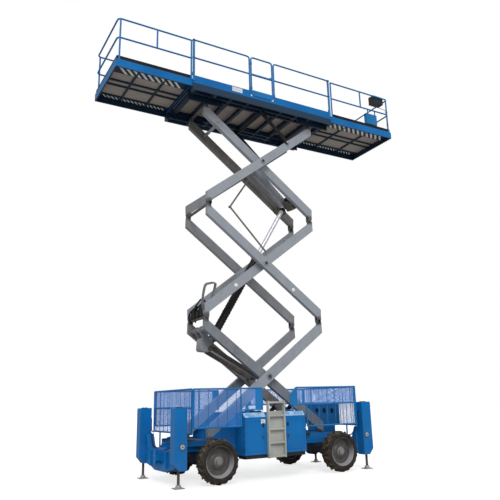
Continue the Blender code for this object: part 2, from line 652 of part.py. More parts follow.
def end_beams():
    """A beam between the two housings at each end, deepest in its middle, with a tow piece."""
    low, high = END_BEAM_Z
    inner = HOUSING_INNER_Y - SEAT
    core = [(0.30, low - 0.06), (0.52, low), (0.60, low), (0.60, high)]
    core += [(-y, z) for y, z in core[::-1]]
    horn = [(0.56, low), (inner, low + 0.04), (inner, high + 0.26), (inner - 0.05, high + 0.26),
            (inner - 0.17, high), (0.56, high)]
    for name, way in (("rear_beam", -1), ("front_beam", 1)):
        face = way * (CHASSIS_HALF_LENGTH + SEAT)
        back = face + way * END_BEAM_DEPTH
        x = sorted((face, back))
        behind_wheel = sorted((face + way * 0.09, back))
        tow = sorted((back - way * 0.02, back + way * 0.11))
        shapes = [prism(core, *x, along="X"), block(tow, (-0.09, 0.09), (0.42, 0.54)),
                  block((tow[0] + 0.02, tow[1] - 0.02), (-0.05, 0.05), (0.34, 0.60))]
        shapes += both_sides(lambda s: prism([(s * y, z) for y, z in horn], *behind_wheel, along="X"))
        node(name, shapes, BLUE)


def outriggers():
    """Four square housings with sliding legs on pads."""
    half = HOUSING_LENGTH / 2
    middle_y = (HOUSING_INNER_Y + HOUSING_OUTER_Y) / 2
    slot = LEG_SIZE / 2 + 0.0008
    for end, way in (("rear", -1), ("front", 1)):
        for label, side in SIDES:
            x, y = way * HOUSING_X, side * middle_y
            low, top = HOUSING_BOTTOM_Z, HOUSING_TOP_Z
            outline = [(-half, low), (half - 0.10, low), (half, low + 0.12),
                       (half, top - 0.02), (half - 0.02, top), (-half, top)]
            outline = [(x + way * a, b) for a, b in outline]
            shapes = [prism(outline, *span(side, HOUSING_INNER_Y, HOUSING_OUTER_Y))]
            cuts = [block((x - slot, x + slot), (y - slot, y + slot), (0.0, HOUSING_TOP_Z - 0.06))]
            node(f"outrigger_{end}_{label}", shapes, BLUE, cuts)
            leg, pad = LEG_SIZE / 2, PAD_SIZE / 2
            legs = [block((x - leg, x + leg), (y - leg, y + leg), (low + 0.15, HOUSING_TOP_Z - 0.46)),
                    rod((x, y, 0.18), (x, y, low + 0.16), LEG_RADIUS * 1.6),
                    rod((x, y, PAD_THICKNESS), (x, y, low + 0.20), LEG_RADIUS),
                    block((x - pad, x + pad), (y - pad, y + pad), (0, PAD_THICKNESS)),
                    frustum((x, y), (PAD_THICKNESS - 0.002, 0.055), pad - 0.02, LEG_RADIUS + 0.01)]
            node(f"leg_{end}_{label}", legs, STEEL, at=(x, y, 0))


def side_modules():
    """Covered trays along both sides, with two doors each and a ladder on the near one."""
    wall = 0.012
    for label, side in SIDES:
        top = MODULE_Z[1]
        inner, outer = MODULE_INNER_Y, MODULE_OUTER_Y - wall - SEAT
        section = [(inner, MODULE_Z[0]), (outer, MODULE_Z[0]), (outer, top - 0.09),
                   (outer - 0.07, top), (inner, top)]
        hollow = [(inner + wall, MODULE_Z[0] + 0.03), (outer - wall, MODULE_Z[0] + 0.03),
                  (outer - wall, top - 0.094), (outer - 0.075, top - wall), (inner + wall, top - wall)]
        shell = prism([(side * a, b) for a, b in section][::side], *MODULE_X, along="X")
        long = (MODULE_X[0] + wall, MODULE_X[1] - wall)
        cuts = [prism([(side * a, b) for a, b in hollow][::side], *long, along="X")]
        bays = (("rear", (MODULE_X[0], LADDER_X[0] - 0.02)), ("front", (LADDER_X[1] + 0.02, MODULE_X[1])))
        for part, x in bays:
            cuts.append(block((x[0] + 0.03, x[1] - 0.03), span(side, outer - 0.05, outer + 0.05),
                              (MODULE_Z[0] + 0.05, top - 0.14)))
        node(f"side_tray_{label}", [shell], NAVY, cuts)
        for part, x in bays:
            hinge_x = x[0] if part == "rear" else x[1]
            plate = block((x[0] + 0.003, x[1] - 0.003), span(side, MODULE_OUTER_Y - wall, MODULE_OUTER_Y),
                          (MODULE_Z[0] + 0.01, top - 0.10))
            latch_x = x[1] - 0.07 if part == "rear" else x[0] + 0.07
            latch = block((latch_x - 0.03, latch_x + 0.03),
                          span(side, MODULE_OUTER_Y - 0.002, MODULE_OUTER_Y + 0.012), (0.76, 0.86))
            hinge = (hinge_x, side * MODULE_OUTER_Y, MODULE_Z[0])
            node(f"door_{part}_{label}", [plate, latch], BLUE, at=hinge)
    low = MODULE_Z[0] + 0.03 + SEAT
    engine = [block((-0.55, -0.05), (MODULE_INNER_Y + 0.03, MODULE_INNER_Y + 0.33), (low, 0.92)),
              block((-0.45, -0.15), (MODULE_INNER_Y + 0.07, MODULE_INNER_Y + 0.29), (0.90, 1.06)),
              across((-0.02, 0.70), 0.12, MODULE_INNER_Y + 0.08, MODULE_INNER_Y + 0.26, sides=16),
              block((-0.10, 0.02), (MODULE_INNER_Y + 0.12, MODULE_INNER_Y + 0.22), (0.65, 0.75))]
    node("engine_block", engine, STEEL)


def ladder():
    """Two stringers, five treads and a backing sheet on the near side."""
    back = MODULE_OUTER_Y - 0.012 + SEAT
    depth = (-LADDER_OUTER_Y, -back)
    x0, x1 = LADDER_X
    shapes = [block((x0, x0 + 0.03), depth, LADDER_Z), block((x1 - 0.03, x1), depth, LADDER_Z),
              block((x0 + 0.02, x1 - 0.02), (-back - 0.008, -back), (LADDER_Z[0], LADDER_Z[1] - 0.20))]
    step = (LADDER_Z[1] - LADDER_Z[0] - 0.06) / 4
    for i in range(5):
        z = LADDER_Z[0] + 0.01 + i * step
        shapes.append(block((x0 + 0.02, x1 - 0.02), (-LADDER_OUTER_Y + 0.004, -back - 0.002), (z, z + 0.035)))
    node("ladder", shapes, CREAM)


def mesh_frame(corners, plane, bars):
    """A tube frame with upright bars; plane is the axis it lies along and its place on the other."""
    axis, offset = plane

    def at(a, z):
        return (a, offset, z) if axis == "X" else (offset, a, z)

    loop = zip(corners, corners[1:] + corners[:1])
    shapes = [rod(at(*p), at(*q), GUARD_TUBE / 2, RAIL_SIDES) for p, q in loop]
    shapes += [rod(at(a, low), at(a, high), radius, 4) for a, low, high, radius in bars]
    return shapes


def upright_bars(low, high, bottom, top, pitch=0.20):
    """Evenly spaced bars (place, bottom, top, radius) of a mesh."""
    count = round((high - low) / pitch)
    return [(low + (i + 0.5) * (high - low) / count, bottom, top, MESH_RADIUS) for i in range(count)]


def guards():
    """Railings of tube and mesh round the folded scissor, on both sides and both ends."""
    mid_z, low_z, skirt_z = 1.39, 1.02, 0.95
    top = GUARD_TOP_Z - GUARD_TUBE / 2
    tray_top = MODULE_Z[1] + SEAT
    end = GUARD_END_X
    step_x = -0.91                  # the rear guard's foot is raised over the tray from here on
    step_z = MODULE_Z[1] + 0.06
    half_x = 0.65                   # where the front guard's lower half begins
    stay = 0.0125
    for label, side in SIDES:
        y = side * GUARD_Y

        def foot(x):
            reach = span(side, GUARD_Y - 0.30, GUARD_Y - 0.01)
            return block((x - 0.04, x + 0.04), reach, (tray_top, tray_top + 0.03))

        def strut(x):
            return block((x - 0.02, x + 0.02), span(side, GUARD_Y - 0.03, GUARD_Y - 0.005), (tray_top, 1.42))

        flat = span(side, GUARD_Y - 0.007, GUARD_Y + 0.007)
        corners = [(-end, low_z), (step_x, low_z), (step_x, step_z), (-0.43, step_z),
                   (-0.43, top), (-end, top)]
        bars = upright_bars(-end, step_x, low_z, top) + [(step_x, step_z, top, stay)]
        shapes = mesh_frame(corners, ("X", y), bars)
        shapes += [block((-0.57, -0.42), flat, (step_z, top)), foot(-0.76), strut(-0.76)]
        node(f"guard_{label}_rear", shapes, BLUE)

        corners = [(0.25, mid_z), (end, mid_z), (end, top), (0.40, top), (0.25, top - 0.14)]
        shapes = mesh_frame(corners, ("X", y), upright_bars(0.45, end, mid_z, top))
        corners = [(half_x, skirt_z), (end, skirt_z), (end, mid_z), (half_x, mid_z)]
        shapes += mesh_frame(corners, ("X", y), upright_bars(half_x, end, skirt_z, mid_z))
        plate = [(0.25, mid_z), (0.42, mid_z), (0.42, top), (0.40, top), (0.25, top - 0.14)]
        shapes += [prism(plate, *flat), foot(0.30), strut(0.30)]
        node(f"guard_{label}_front", shapes, BLUE)
    across_x = GUARD_END_X + GUARD_TUBE + SEAT
    for name, way in (("guard_rear_end", -1), ("guard_front_end", 1)):
        x = way * across_x
        corners = [(-GUARD_Y, 0.92), (GUARD_Y, 0.92), (GUARD_Y, top), (-GUARD_Y, top)]
        shapes = mesh_frame(corners, ("Y", x), upright_bars(-GUARD_Y, GUARD_Y, 0.92, top, 0.22))
        shapes.append(rod((x, -GUARD_Y, mid_z), (x, GUARD_Y, mid_z), GUARD_TUBE / 2, RAIL_SIDES))
        shapes += both_sides(lambda s: rod((x, s * 0.64, 0.92), (x, s * 0.64, END_BEAM_Z[1] + SEAT),
                                           GUARD_TUBE / 2, RAIL_SIDES))
        cuts = []
        if way > 0:
            sheet = (x - 0.008, x + 0.008)
            shapes += [block(sheet, (-0.39, GUARD_Y - 0.01), (0.92, mid_z)),
                       block(sheet, (-0.20, 0.55), (END_BEAM_Z[1] + SEAT, 0.93))]
            cuts = [rod((x - 0.1, y, 1.215), (x + 0.1, y, 1.215), 0.055) for y in (-0.13, 0.17, 0.47)]
        node(name, shapes, BLUE, cuts)


# Platform

def platform_frame():
    """The frame under the main floor: roller tracks, long beams, cross members and link lugs."""
    beam_low, beam_high = TOP_PIN_Z + 0.05, DECK_Z - FLOOR_THICKNESS - SEAT
    end = MAIN_HALF_LENGTH - MAIN_BEAM_WIDTH - 0.002
    shapes = []
    for web in (OUTER_WEB_Y, INNER_WEB_Y):
        long = (-end, end)
        shapes += both_sides(lambda s: block(long, span(s, web - 0.04, web + 0.012), (beam_low, beam_high)))
    track_end = MAIN_HALF_LENGTH - 0.01
    shapes += roller_track(1, OUTER_WEB_Y, TOP_PIN_Z, -1, track_end)
    shapes += roller_track(-1, INNER_WEB_Y, TOP_PIN_Z, -1, track_end)
    for web, way in ((OUTER_WEB_Y, 1), (INNER_WEB_Y, -1)):
        x = sorted((way * TRACK_INNER_END, way * track_end))
        shapes += both_sides(lambda s: block(x, span(s, web - 0.04, web + 0.012),
                                             (TOP_PIN_Z + TRACK_DROP, beam_low + 0.01)))
    for part in (-0.94, -0.47, 0.0, 0.47, 0.94):
        x = part * MAIN_HALF_LENGTH
        reach = EXTENSION_HALF_WIDTH - 0.06
        shapes.append(block((x - 0.04, x + 0.04), (-reach, reach), (beam_low + 0.01, beam_high - 0.02)))
    lug = hull(circle((0, TOP_PIN_Z), EYE_RADIUS) + [(-0.07, beam_low + 0.02), (0.07, beam_low + 0.02)])
    shapes += both_sides(lambda s: prism(lug, *span(s, *TOP_LUG_Y)))
    through = (TOP_LUG_Y[0] - 0.01, TOP_LUG_Y[1] + 0.01)
    cuts = both_sides(lambda s: bore((0, TOP_PIN_Z), PIN_RADIUS, *span(s, *through)))
    node("platform_frame", shapes, NAVY, cuts)


def main_deck():
    """Floor, side beams with toe boards, and low cross members that tie them together."""
    low, toe = DECK_Z - 0.19, DECK_Z + 0.16
    inner = MAIN_HALF_WIDTH - MAIN_BEAM_WIDTH
    floor_reach = EXTENSION_HALF_WIDTH - 0.045
    length = (-MAIN_HALF_LENGTH, MAIN_HALF_LENGTH)
    shapes = [block(length, (-floor_reach, floor_reach), (DECK_Z - FLOOR_THICKNESS, DECK_Z))]
    shapes += both_sides(lambda s: block(length, span(s, inner, MAIN_HALF_WIDTH), (low, toe)))
    bearer = EXTENSION_BEAM_Z[0] - SEAT         # the rolled-out decks' side beams slide on this
    for part in (-1.0, -0.705, 0.663, 1.0):
        x = part * (MAIN_HALF_LENGTH - 0.03)
        wide = (x - 0.03, x + 0.03)
        near = floor_reach - 0.06
        shapes += both_sides(lambda s: block(wide, span(s, near, inner + 0.01), (low, bearer)))
        shapes += both_sides(lambda s: block(wide, span(s, near, floor_reach), (low, DECK_Z - 0.01)))
    gate = block(GATE_X, (-MAIN_HALF_WIDTH - 0.01, -inner + 0.002), (DECK_Z + 0.03, toe + 0.1))
    node("main_deck", shapes, BLUE, [gate])


def railing(name, side_y, posts, x, height=RAIL_HEIGHT, base=0.16):
    """Upright posts with a top rail and a mid rail along one side."""
    t = RAIL_TUBE / 2
    top = DECK_Z + height - t
    mid = DECK_Z + height * 0.56
    shapes = [rod((x[0], side_y, z), (x[1], side_y, z), t, RAIL_SIDES) for z in (top, mid)]
    shapes += [rod((p, side_y, DECK_Z + base + SEAT), (p, side_y, top), t, RAIL_SIDES) for p in posts]
    node(name, shapes, BLUE)


def main_rails():
    y = MAIN_HALF_WIDTH - MAIN_BEAM_WIDTH / 2
    t = RAIL_TUBE / 2
    end = MAIN_HALF_LENGTH - t
    railing("rail_near_rear", -y, (-end, GATE_X[0] - t), (-end, GATE_X[0] - t))
    railing("rail_near_front", -y, (GATE_X[1] + t, end), (GATE_X[1] + t, end))
    railing("rail_far", y, (-end, -0.95, 0.0, 0.95, end), (-end, end))


def gate():
    """A swinging gate hinged at its rear post, opening inwards."""
    y = -(MAIN_HALF_WIDTH - MAIN_BEAM_WIDTH / 2)
    t = RAIL_TUBE / 2
    x0, x1 = GATE_X[0] + 0.008 + t, GATE_X[1] - 0.008 - t
    low, top = DECK_Z + 0.06, DECK_Z + RAIL_HEIGHT - t
    mid = DECK_Z + RAIL_HEIGHT * 0.56
    shapes = [rod((x0, y, low), (x0, y, top), t, RAIL_SIDES), rod((x1, y, low), (x1, y, top), t, RAIL_SIDES),
              rod((x0, y, top), (x1, y, top), t, RAIL_SIDES),
              rod((x0, y, mid), (x1, y, mid), t * 1.3, RAIL_SIDES),
              block((x0, x1), (y - 0.004, y + 0.004), (low, low + 0.14))]
    sleeve = x0 - (GATE_X[0] - t) - t * cos(pi / RAIL_SIDES) - SEAT
    shapes += [rod((x0, y, z), (x0, y, z + 0.06), sleeve, 16) for z in (low + 0.16, top - 0.20)]
    node("gate", shapes, BLUE, at=(x0, y, low))


def extension(name, way, reach, posts):
    """A roll-out deck: floor, side beams, cross ribs, and a three-sided railing."""
    half = EXTENSION_HALF_WIDTH
    beam = 0.03
    inner_end = way * (MAIN_HALF_LENGTH - DECK_OVERLAP)
    tip = way * (MAIN_HALF_LENGTH + reach)
    x = sorted((inner_end, tip))
    rib_low, floor_low, floor_top = DECK_Z + 0.008, DECK_Z + 0.05, DECK_Z + 0.072
    shapes = [block(x, (-half, half), (floor_low, floor_top))]
    height = EXTENSION_BEAM_Z
    shapes += both_sides(lambda s: block(x, span(s, half - beam, half), height))
    clear = sorted((way * (MAIN_HALF_LENGTH + 0.01), tip))
    for y in LONG_RIB_Y:
        shapes.append(block(clear, (y - 0.02, y + 0.02), (rib_low, floor_low + 0.01)))
    for part in (0.0, 0.36, 0.69):
        rib = inner_end + way * (0.02 + part * (reach + DECK_OVERLAP))
        wide = (rib - 0.02, rib + 0.02)
        shapes.append(block(wide, (-half + 0.01, half - 0.01), (rib_low, floor_low + 0.01)))
    shapes.append(block(sorted((tip, tip - way * 0.03)), (-half, half), height))
    node(f"{name}_deck", shapes, BLUE)

    t = RAIL_TUBE / 2
    y = half - t
    end = tip - way * t
    top, mid = DECK_Z + RAIL_HEIGHT - t, DECK_Z + RAIL_HEIGHT * 0.56
    foot = DECK_Z + 0.082 + SEAT
    first = posts[0]
    shapes = []
    for z in (top, mid):
        shapes += both_sides(lambda s: rod((first, s * y, z), (end, s * y, z), t, RAIL_SIDES))
        shapes.append(rod((end, -y - t * 0.5, z), (end, y + t * 0.5, z), t, RAIL_SIDES))
    for p in (posts[0], end):
        shapes += both_sides(lambda s: rod((p, s * y, foot), (p, s * y, top), t, RAIL_SIDES))
    shapes += both_sides(lambda s: rod((posts[1], s * y, mid), (posts[1], s * y, top), t, RAIL_SIDES))
    toe = (foot, foot + TOE_HEIGHT)
    shapes += both_sides(lambda s: block(sorted((first, end)), span(s, y - 0.004, y + 0.004), toe))
    shapes.append(block((end - 0.004, end + 0.004), (-y, y), toe))
    node(f"{name}_rails", shapes, BLUE)


def control_box():
    """The operator's box hung on the near top rail, and a document box under it."""
    y = -(EXTENSION_HALF_WIDTH - RAIL_TUBE / 2)
    top = DECK_Z + RAIL_HEIGHT
    tip = MAIN_HALF_LENGTH + RIGHT_REACH
    inside = y + RAIL_TUBE / 2 + SEAT
    shapes = [prism([(tip - 0.50, top - 0.20), (tip - 0.16, top - 0.20), (tip - 0.16, top - 0.02),
                     (tip - 0.20, top + 0.02), (tip - 0.50, top + 0.02)], inside, inside + 0.20),
              rod((tip - 0.30, inside + 0.10, top), (tip - 0.30, inside + 0.10, top + 0.07), 0.016, 8)]
    node("control_box", shapes, BLACK)
    low = DECK_Z + 0.20
    mid = DECK_Z + RAIL_HEIGHT * 0.56
    case = [block((tip - 0.80, tip - 0.44), (inside, inside + 0.10), (low, low + 0.30))]
    strap = ((inside, inside + 0.01), (low + 0.28, mid + 0.01))
    case += [block((x, x + 0.03), *strap) for x in (tip - 0.76, tip - 0.51)]
    node("document_box", case, BLUE)


wheels()
rear_axle()
front_axle()
knuckles()
scissor()
centring_links()
lift_cylinder()
chassis_frame()
end_beams()
outriggers()
side_modules()
ladder()
guards()
platform_frame()
main_deck()
main_rails()
gate()
extension("left", -1, LEFT_REACH, (-MAIN_HALF_LENGTH - 0.02, -MAIN_HALF_LENGTH - 0.835))
extension("right", 1, RIGHT_REACH, (MAIN_HALF_LENGTH + 0.10, MAIN_HALF_LENGTH + 1.085))
control_box()
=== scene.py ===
# %% [markdown]
# # A rough-terrain scissor lift, raised, with both decks rolled out
#
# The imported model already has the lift's working solids: chassis, wheels, outriggers, six arms,
# the platform and its rails.  This lesson dresses them.  Every length is in metres, Z is up, the
# steering end is towards +X and the ladder is on the -Y side.

import json
from math import asin, atan2, cos, pi, radians, sin, sqrt

import bmesh
import bpy
from mathutils import Matrix, Vector


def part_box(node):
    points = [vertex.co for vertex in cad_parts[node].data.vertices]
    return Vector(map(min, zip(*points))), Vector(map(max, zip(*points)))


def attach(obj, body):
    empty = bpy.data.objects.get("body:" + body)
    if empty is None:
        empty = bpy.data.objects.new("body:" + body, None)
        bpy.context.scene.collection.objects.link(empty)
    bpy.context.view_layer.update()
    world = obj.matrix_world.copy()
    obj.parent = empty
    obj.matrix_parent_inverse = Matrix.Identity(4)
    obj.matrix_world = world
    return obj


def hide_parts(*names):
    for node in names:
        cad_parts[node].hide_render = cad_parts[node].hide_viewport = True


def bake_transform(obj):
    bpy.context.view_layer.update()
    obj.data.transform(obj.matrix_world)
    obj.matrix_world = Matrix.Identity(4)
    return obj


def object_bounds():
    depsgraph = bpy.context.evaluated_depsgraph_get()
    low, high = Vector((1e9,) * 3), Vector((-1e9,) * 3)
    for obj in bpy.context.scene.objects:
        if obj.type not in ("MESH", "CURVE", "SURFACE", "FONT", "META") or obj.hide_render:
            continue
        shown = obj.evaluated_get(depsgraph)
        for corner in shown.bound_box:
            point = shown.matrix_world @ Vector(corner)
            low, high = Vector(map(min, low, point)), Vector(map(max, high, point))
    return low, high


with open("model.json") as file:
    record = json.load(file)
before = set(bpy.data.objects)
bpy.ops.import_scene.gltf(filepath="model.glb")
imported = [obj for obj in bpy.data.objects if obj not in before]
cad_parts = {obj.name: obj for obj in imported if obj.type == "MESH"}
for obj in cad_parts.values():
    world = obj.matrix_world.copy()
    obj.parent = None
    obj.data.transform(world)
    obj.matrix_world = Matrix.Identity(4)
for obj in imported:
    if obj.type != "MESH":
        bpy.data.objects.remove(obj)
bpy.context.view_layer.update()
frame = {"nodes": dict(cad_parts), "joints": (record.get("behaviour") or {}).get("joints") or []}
joints = {joint["name"]: joint for joint in frame["joints"]}
nodes = frame["nodes"]

# %% [markdown]
# ## Places that everything is measured from
#
# The lift hinge is in the middle of the chassis, so its X is the chassis centre, and a small
# function turns "metres from the chassis centre" into a point of the frame.  The scissor's pins come
# from the joints and the deck's height from its own solid, so a new pack moves the details with it.

# %% Chassis centre, deck height and levels
MIDDLE = joints["lift"]["pos_m"][0]
TOP_PIN = joints["platform_level"]["pos_m"][2]
BASE_PIN = joints["lift"]["pos_m"][2]
LEVEL = (TOP_PIN - BASE_PIN) / 3
SIDE_HEIGHT = 0.16                # of the main deck's toe sides
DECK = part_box("main_deck")[1].z - SIDE_HEIGHT
SPAN = 3.72                       # between an arm's end pins
OFFSET = 0.15                     # the end pins lie this far off an arm's middle line
SLOPE = asin(LEVEL / SPAN) - asin(OFFSET / (SPAN / 2))
SIDES = {"near": -1, "far": 1}


def at(x, y, z):
    """A point given from the chassis centre."""
    return Vector((MIDDLE + x, y, z))


print(f"chassis centre {MIDDLE:.3f}, deck {DECK:.3f}, arm slope {SLOPE:.3f} rad")

# %% [markdown]
# ## The camera
#
# The photograph was taken from the ground, near the rear left corner, looking up at the deck.  The
# place, the turn and the lens were found by fitting the wheels, the rails and the scissor's pins to
# their pixels.  The picture's middle is a little off the lens axis, which is what shift is for.

# %% Camera
EYE = at(-6.49997, -11.33841, 1.50067)
YAW, PITCH, ROLL = 0.534368, 0.274949, -0.0284147
FOCAL_PIXELS, PICTURE, SENSOR = 572.1906, 500, 36
AXIS_PIXEL = (259.558, 238.479)
forward = Vector((sin(YAW) * cos(PITCH), cos(YAW) * cos(PITCH), sin(PITCH)))
level = Vector((cos(YAW), -sin(YAW), 0))
upright = level.cross(forward)
right = level * cos(ROLL) + upright * sin(ROLL)
up = upright * cos(ROLL) - level * sin(ROLL)
camera_data = bpy.data.cameras.new("camera")
camera = bpy.data.objects.new("camera", camera_data)
bpy.context.scene.collection.objects.link(camera)
camera.matrix_world = Matrix.Translation(EYE) @ Matrix((right, up, -forward)).transposed().to_4x4()
camera_data.sensor_width = SENSOR
camera_data.lens = SENSOR * FOCAL_PIXELS / PICTURE
camera_data.shift_x = (PICTURE / 2 - AXIS_PIXEL[0]) / PICTURE
camera_data.shift_y = (AXIS_PIXEL[1] - PICTURE / 2) / PICTURE
camera_data.clip_end = 200
bpy.context.scene.camera = camera
print("lens", round(camera_data.lens, 2), "mm")

# %% [markdown]
# ## Writing shaders as sums
#
# A finish is easier to read as `wear * 0.5 + dirt` than as a web of nodes.  `Wire` holds one socket
# of a material and overloads the operators, so a sum adds its own Math node.  Colours and vectors
# go through Vector Math, because a Math node would turn a colour grey.

# %% Wires and finishes
class Wire:
    """A socket of a finish that can be used in Python sums."""

    def __init__(self, finish, socket):
        self.finish, self.socket = finish, socket

    def sum(self, operation, first, second=None):
        sockets = {0: first} if second is None else {0: first, 1: second}
        kinds = [w.socket.type for w in (first, second) if isinstance(w, Wire)]
        if "VECTOR" in kinds or "RGBA" in kinds:
            sockets = {k: (v,) * 3 if isinstance(v, (int, float)) else v for k, v in sockets.items()}
            return self.finish.node("ShaderNodeVectorMath", {"operation": operation}, sockets)
        return self.finish.node("ShaderNodeMath", {"operation": operation}, sockets)

    def __add__(self, other):
        return self.sum("ADD", self, other)

    def __sub__(self, other):
        return self.sum("SUBTRACT", self, other)

    def __rsub__(self, other):
        return self.sum("SUBTRACT", other, self)

    def __mul__(self, other):
        return self.sum("MULTIPLY", self, other)

    def __pow__(self, power):
        return self.sum("POWER", self, power)

    def __gt__(self, limit):
        return self.sum("GREATER_THAN", self, limit)

    def __lt__(self, limit):
        return self.sum("LESS_THAN", self, limit)

    def __abs__(self):
        return self.sum("ABSOLUTE", self)

    __radd__ = __add__
    __rmul__ = __mul__

    def part(self, axis):
        """One coordinate of a vector: 0, 1 or 2."""
        return self.finish.node("ShaderNodeSeparateXYZ", {}, {0: self}, axis)

    def fade(self, low, high):
        """0 below low and 1 above high, with a straight slope between."""
        return self.finish.node("ShaderNodeMapRange", {}, {"Value": self, "From Min": low, "From Max": high})


class Finish:
    """One Principled material, built from wires."""

    def __init__(self, name):
        self.material = bpy.data.materials.new(name)
        self.material.use_nodes = True
        self.tree = self.material.node_tree
        self.shader = self.tree.nodes["Principled BSDF"]

    def node(self, kind, settings, sockets, out=0):
        """Any node: its settings first, then the values or links of its sockets."""
        made = self.tree.nodes.new(kind)
        for name, value in settings.items():
            setattr(made, name, value)
        for name, value in sockets.items():
            if isinstance(value, Wire):
                self.tree.links.new(value.socket, made.inputs[name])
            else:
                made.inputs[name].default_value = value
        return Wire(self, made.outputs[out])

    def place(self):
        """Where a point is, in the piece's own frame."""
        return self.node("ShaderNodeTexCoord", {}, {}, "Object")

    def noise(self, scale, detail=3.0, where=None, roughness=0.5):
        """Cloudy noise from 0 to 1; a larger scale makes finer clouds."""
        sockets = {"Vector": where or self.place(), "Scale": scale, "Detail": detail, "Roughness": roughness}
        return self.node("ShaderNodeTexNoise", {}, sockets)

    def from_axis(self, where, x, z):
        """How far a point is from an axis along Y."""
        flat = (where - tuple(at(x, 0, z))) * (1.0, 0.0, 1.0)
        return self.node("ShaderNodeVectorMath", {"operation": "LENGTH"}, {0: flat}, "Value")

    def mix(self, factor, first, second):
        """The first colour where the factor is 0, the second where it is 1."""
        sockets = {0: factor}
        for slot, colour in ((6, first), (7, second)):
            sockets[slot] = colour if isinstance(colour, Wire) else (*colour, 1)
        return self.node("ShaderNodeMix", {"data_type": "RGBA"}, sockets, 2)

    def bump(self, height, distance):
        """Small relief, as a normal; distance is its depth in metres."""
        return self.node("ShaderNodeBump", {}, {"Height": height, "Distance": distance, "Strength": 1.0})

    def wear(self, **values):
        """Set the shader's sockets; numbers and colours stay on the sockets themselves."""
        for name, value in values.items():
            socket = self.shader.inputs[name.replace("_", " ").title().replace("Ior", "IOR")]
            if isinstance(value, Wire):
                self.tree.links.new(value.socket, socket)
            elif isinstance(value, tuple) and len(value) == 3:
                socket.default_value = (*value, 1)
            else:
                socket.default_value = value
        return self.material


# %% [markdown]
# ## Enamel paint
#
# The chassis and rails have a hard, fairly glossy blue enamel.  Real enamel is never one colour: it
# has a faint orange peel, it fades in broad patches, and dust settles on its lower parts.  Each of
# these is one noise at its own scale: the peel bends the normal, the others tint the paint weakly.

# %% Enamel finishes
def enamel(name, dark, light, roughness=0.34, dust=0.0, two_tone=None, skin=None):
    """Painted steel; dust is how much road dirt lies on its low parts.

    two_tone is a height and the colour below it; skin is how far out |x| and |y| have to be for the
    outer colour, and the colour of everything inside.
    """
    finish = Finish(name)
    patches = finish.noise(1.7, 4).fade(0.35, 0.65)
    colour = finish.mix(patches, dark, light)
    where = finish.place()
    if two_tone:
        height, other = two_tone
        colour = finish.mix(where.part(2).fade(height - 0.003, height), other, colour)
    if skin:
        skin_x, skin_y, other = skin
        outside = (abs(where.part(0)) > skin_x) + (abs(where.part(1)) > skin_y)
        colour = finish.mix(outside, other, colour)
    scuffs = finish.noise(38, 5, roughness=0.7).fade(0.66, 0.72)
    colour = finish.mix(scuffs * 0.25, colour, tuple(0.55 * c + 0.2 for c in light))
    rough = patches * 0.08 + scuffs * 0.2 + roughness
    if dust:
        low = 1 - where.part(2).fade(0.2, 1.3)
        film = low * finish.noise(5.5, 6, roughness=0.65).fade(0.38, 0.75) * dust
        colour = finish.mix(film, colour, (0.21, 0.18, 0.14))
        rough = rough + film * 0.4
    peel = finish.bump(finish.noise(210, 2), 0.0004)
    return finish.wear(base_color=colour, roughness=rough, normal=peel, specular_ior_level=0.22)


BLUE = ((0.0005, 0.134, 0.405), (0.001, 0.165, 0.485))
NAVY = ((0.006, 0.016, 0.036), (0.009, 0.026, 0.058))
blue = enamel("blue_enamel", *BLUE)
mesh_blue = enamel("mesh_enamel", (0.05, 0.245, 0.70), (0.07, 0.285, 0.78))
rail_blue = enamel("rail_enamel", (0.010, 0.175, 0.44), (0.020, 0.205, 0.52))
dusty_blue = enamel("dusty_blue_enamel", *BLUE, dust=0.16)
# roll-out decks: navy on the bottom flange and on every face inside the outer skin is painted shade for their
# undersides and inner sides
WING_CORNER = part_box("right_deck")[1]
wing_blue = enamel("wing_enamel", *BLUE, two_tone=(DECK - 0.093, NAVY[1]),
                   skin=(WING_CORNER.x - 0.0015, WING_CORNER.y - 0.0015, NAVY[1]))
deck_blue = enamel("deck_side_enamel", *BLUE, two_tone=(DECK - 0.024, (0.022, 0.050, 0.095)))
# chassis frame: navy below 0.585 m is painted shade under the rails; the dust on its low parts is real dirt
frame_blue = enamel("frame_enamel", *BLUE, dust=0.3, two_tone=(0.585, NAVY[0]))
navy = enamel("navy_enamel", *NAVY, roughness=0.42)
dusty_navy = enamel("dusty_navy_enamel", *NAVY, roughness=0.45, dust=0.6)
cream = enamel("cream_enamel", (0.39, 0.405, 0.375), (0.51, 0.525, 0.49), roughness=0.5, dust=0.5)
black_paint = enamel("black_paint", (0.010, 0.010, 0.012), (0.018, 0.018, 0.020), roughness=0.45)
print("enamels made")

# %% [markdown]
# ## Grey paint and steel
#
# Satin grey paint and bare steel show streaks that run down, and greasy brown blotches.  Stretching
# the noise along the height gives the streaks.

# %% Grey, steel, chrome and galvanised finishes
def streaked(name, dark, light, roughness, metallic=0.0, grease=0.0):
    """A grey with streaks running down it and, optionally, greasy blotches."""
    finish = Finish(name)
    where = finish.place()
    stretched = where * (9.0, 9.0, 1.6)
    streaks = finish.noise(1.0, 5, stretched, 0.6).fade(0.3, 0.7)
    colour = finish.mix(streaks, dark, light)
    rough = streaks * 0.12 + roughness
    if grease:
        blotch = finish.noise(2.3, 6, where, 0.7).fade(0.56, 0.70) * grease
        colour = finish.mix(blotch, colour, (0.045, 0.035, 0.025))
        rough = rough - blotch * 0.15
    grit = finish.bump(finish.noise(160, 3), 0.0003)
    return finish.wear(base_color=colour, roughness=rough, metallic=metallic, normal=grit)


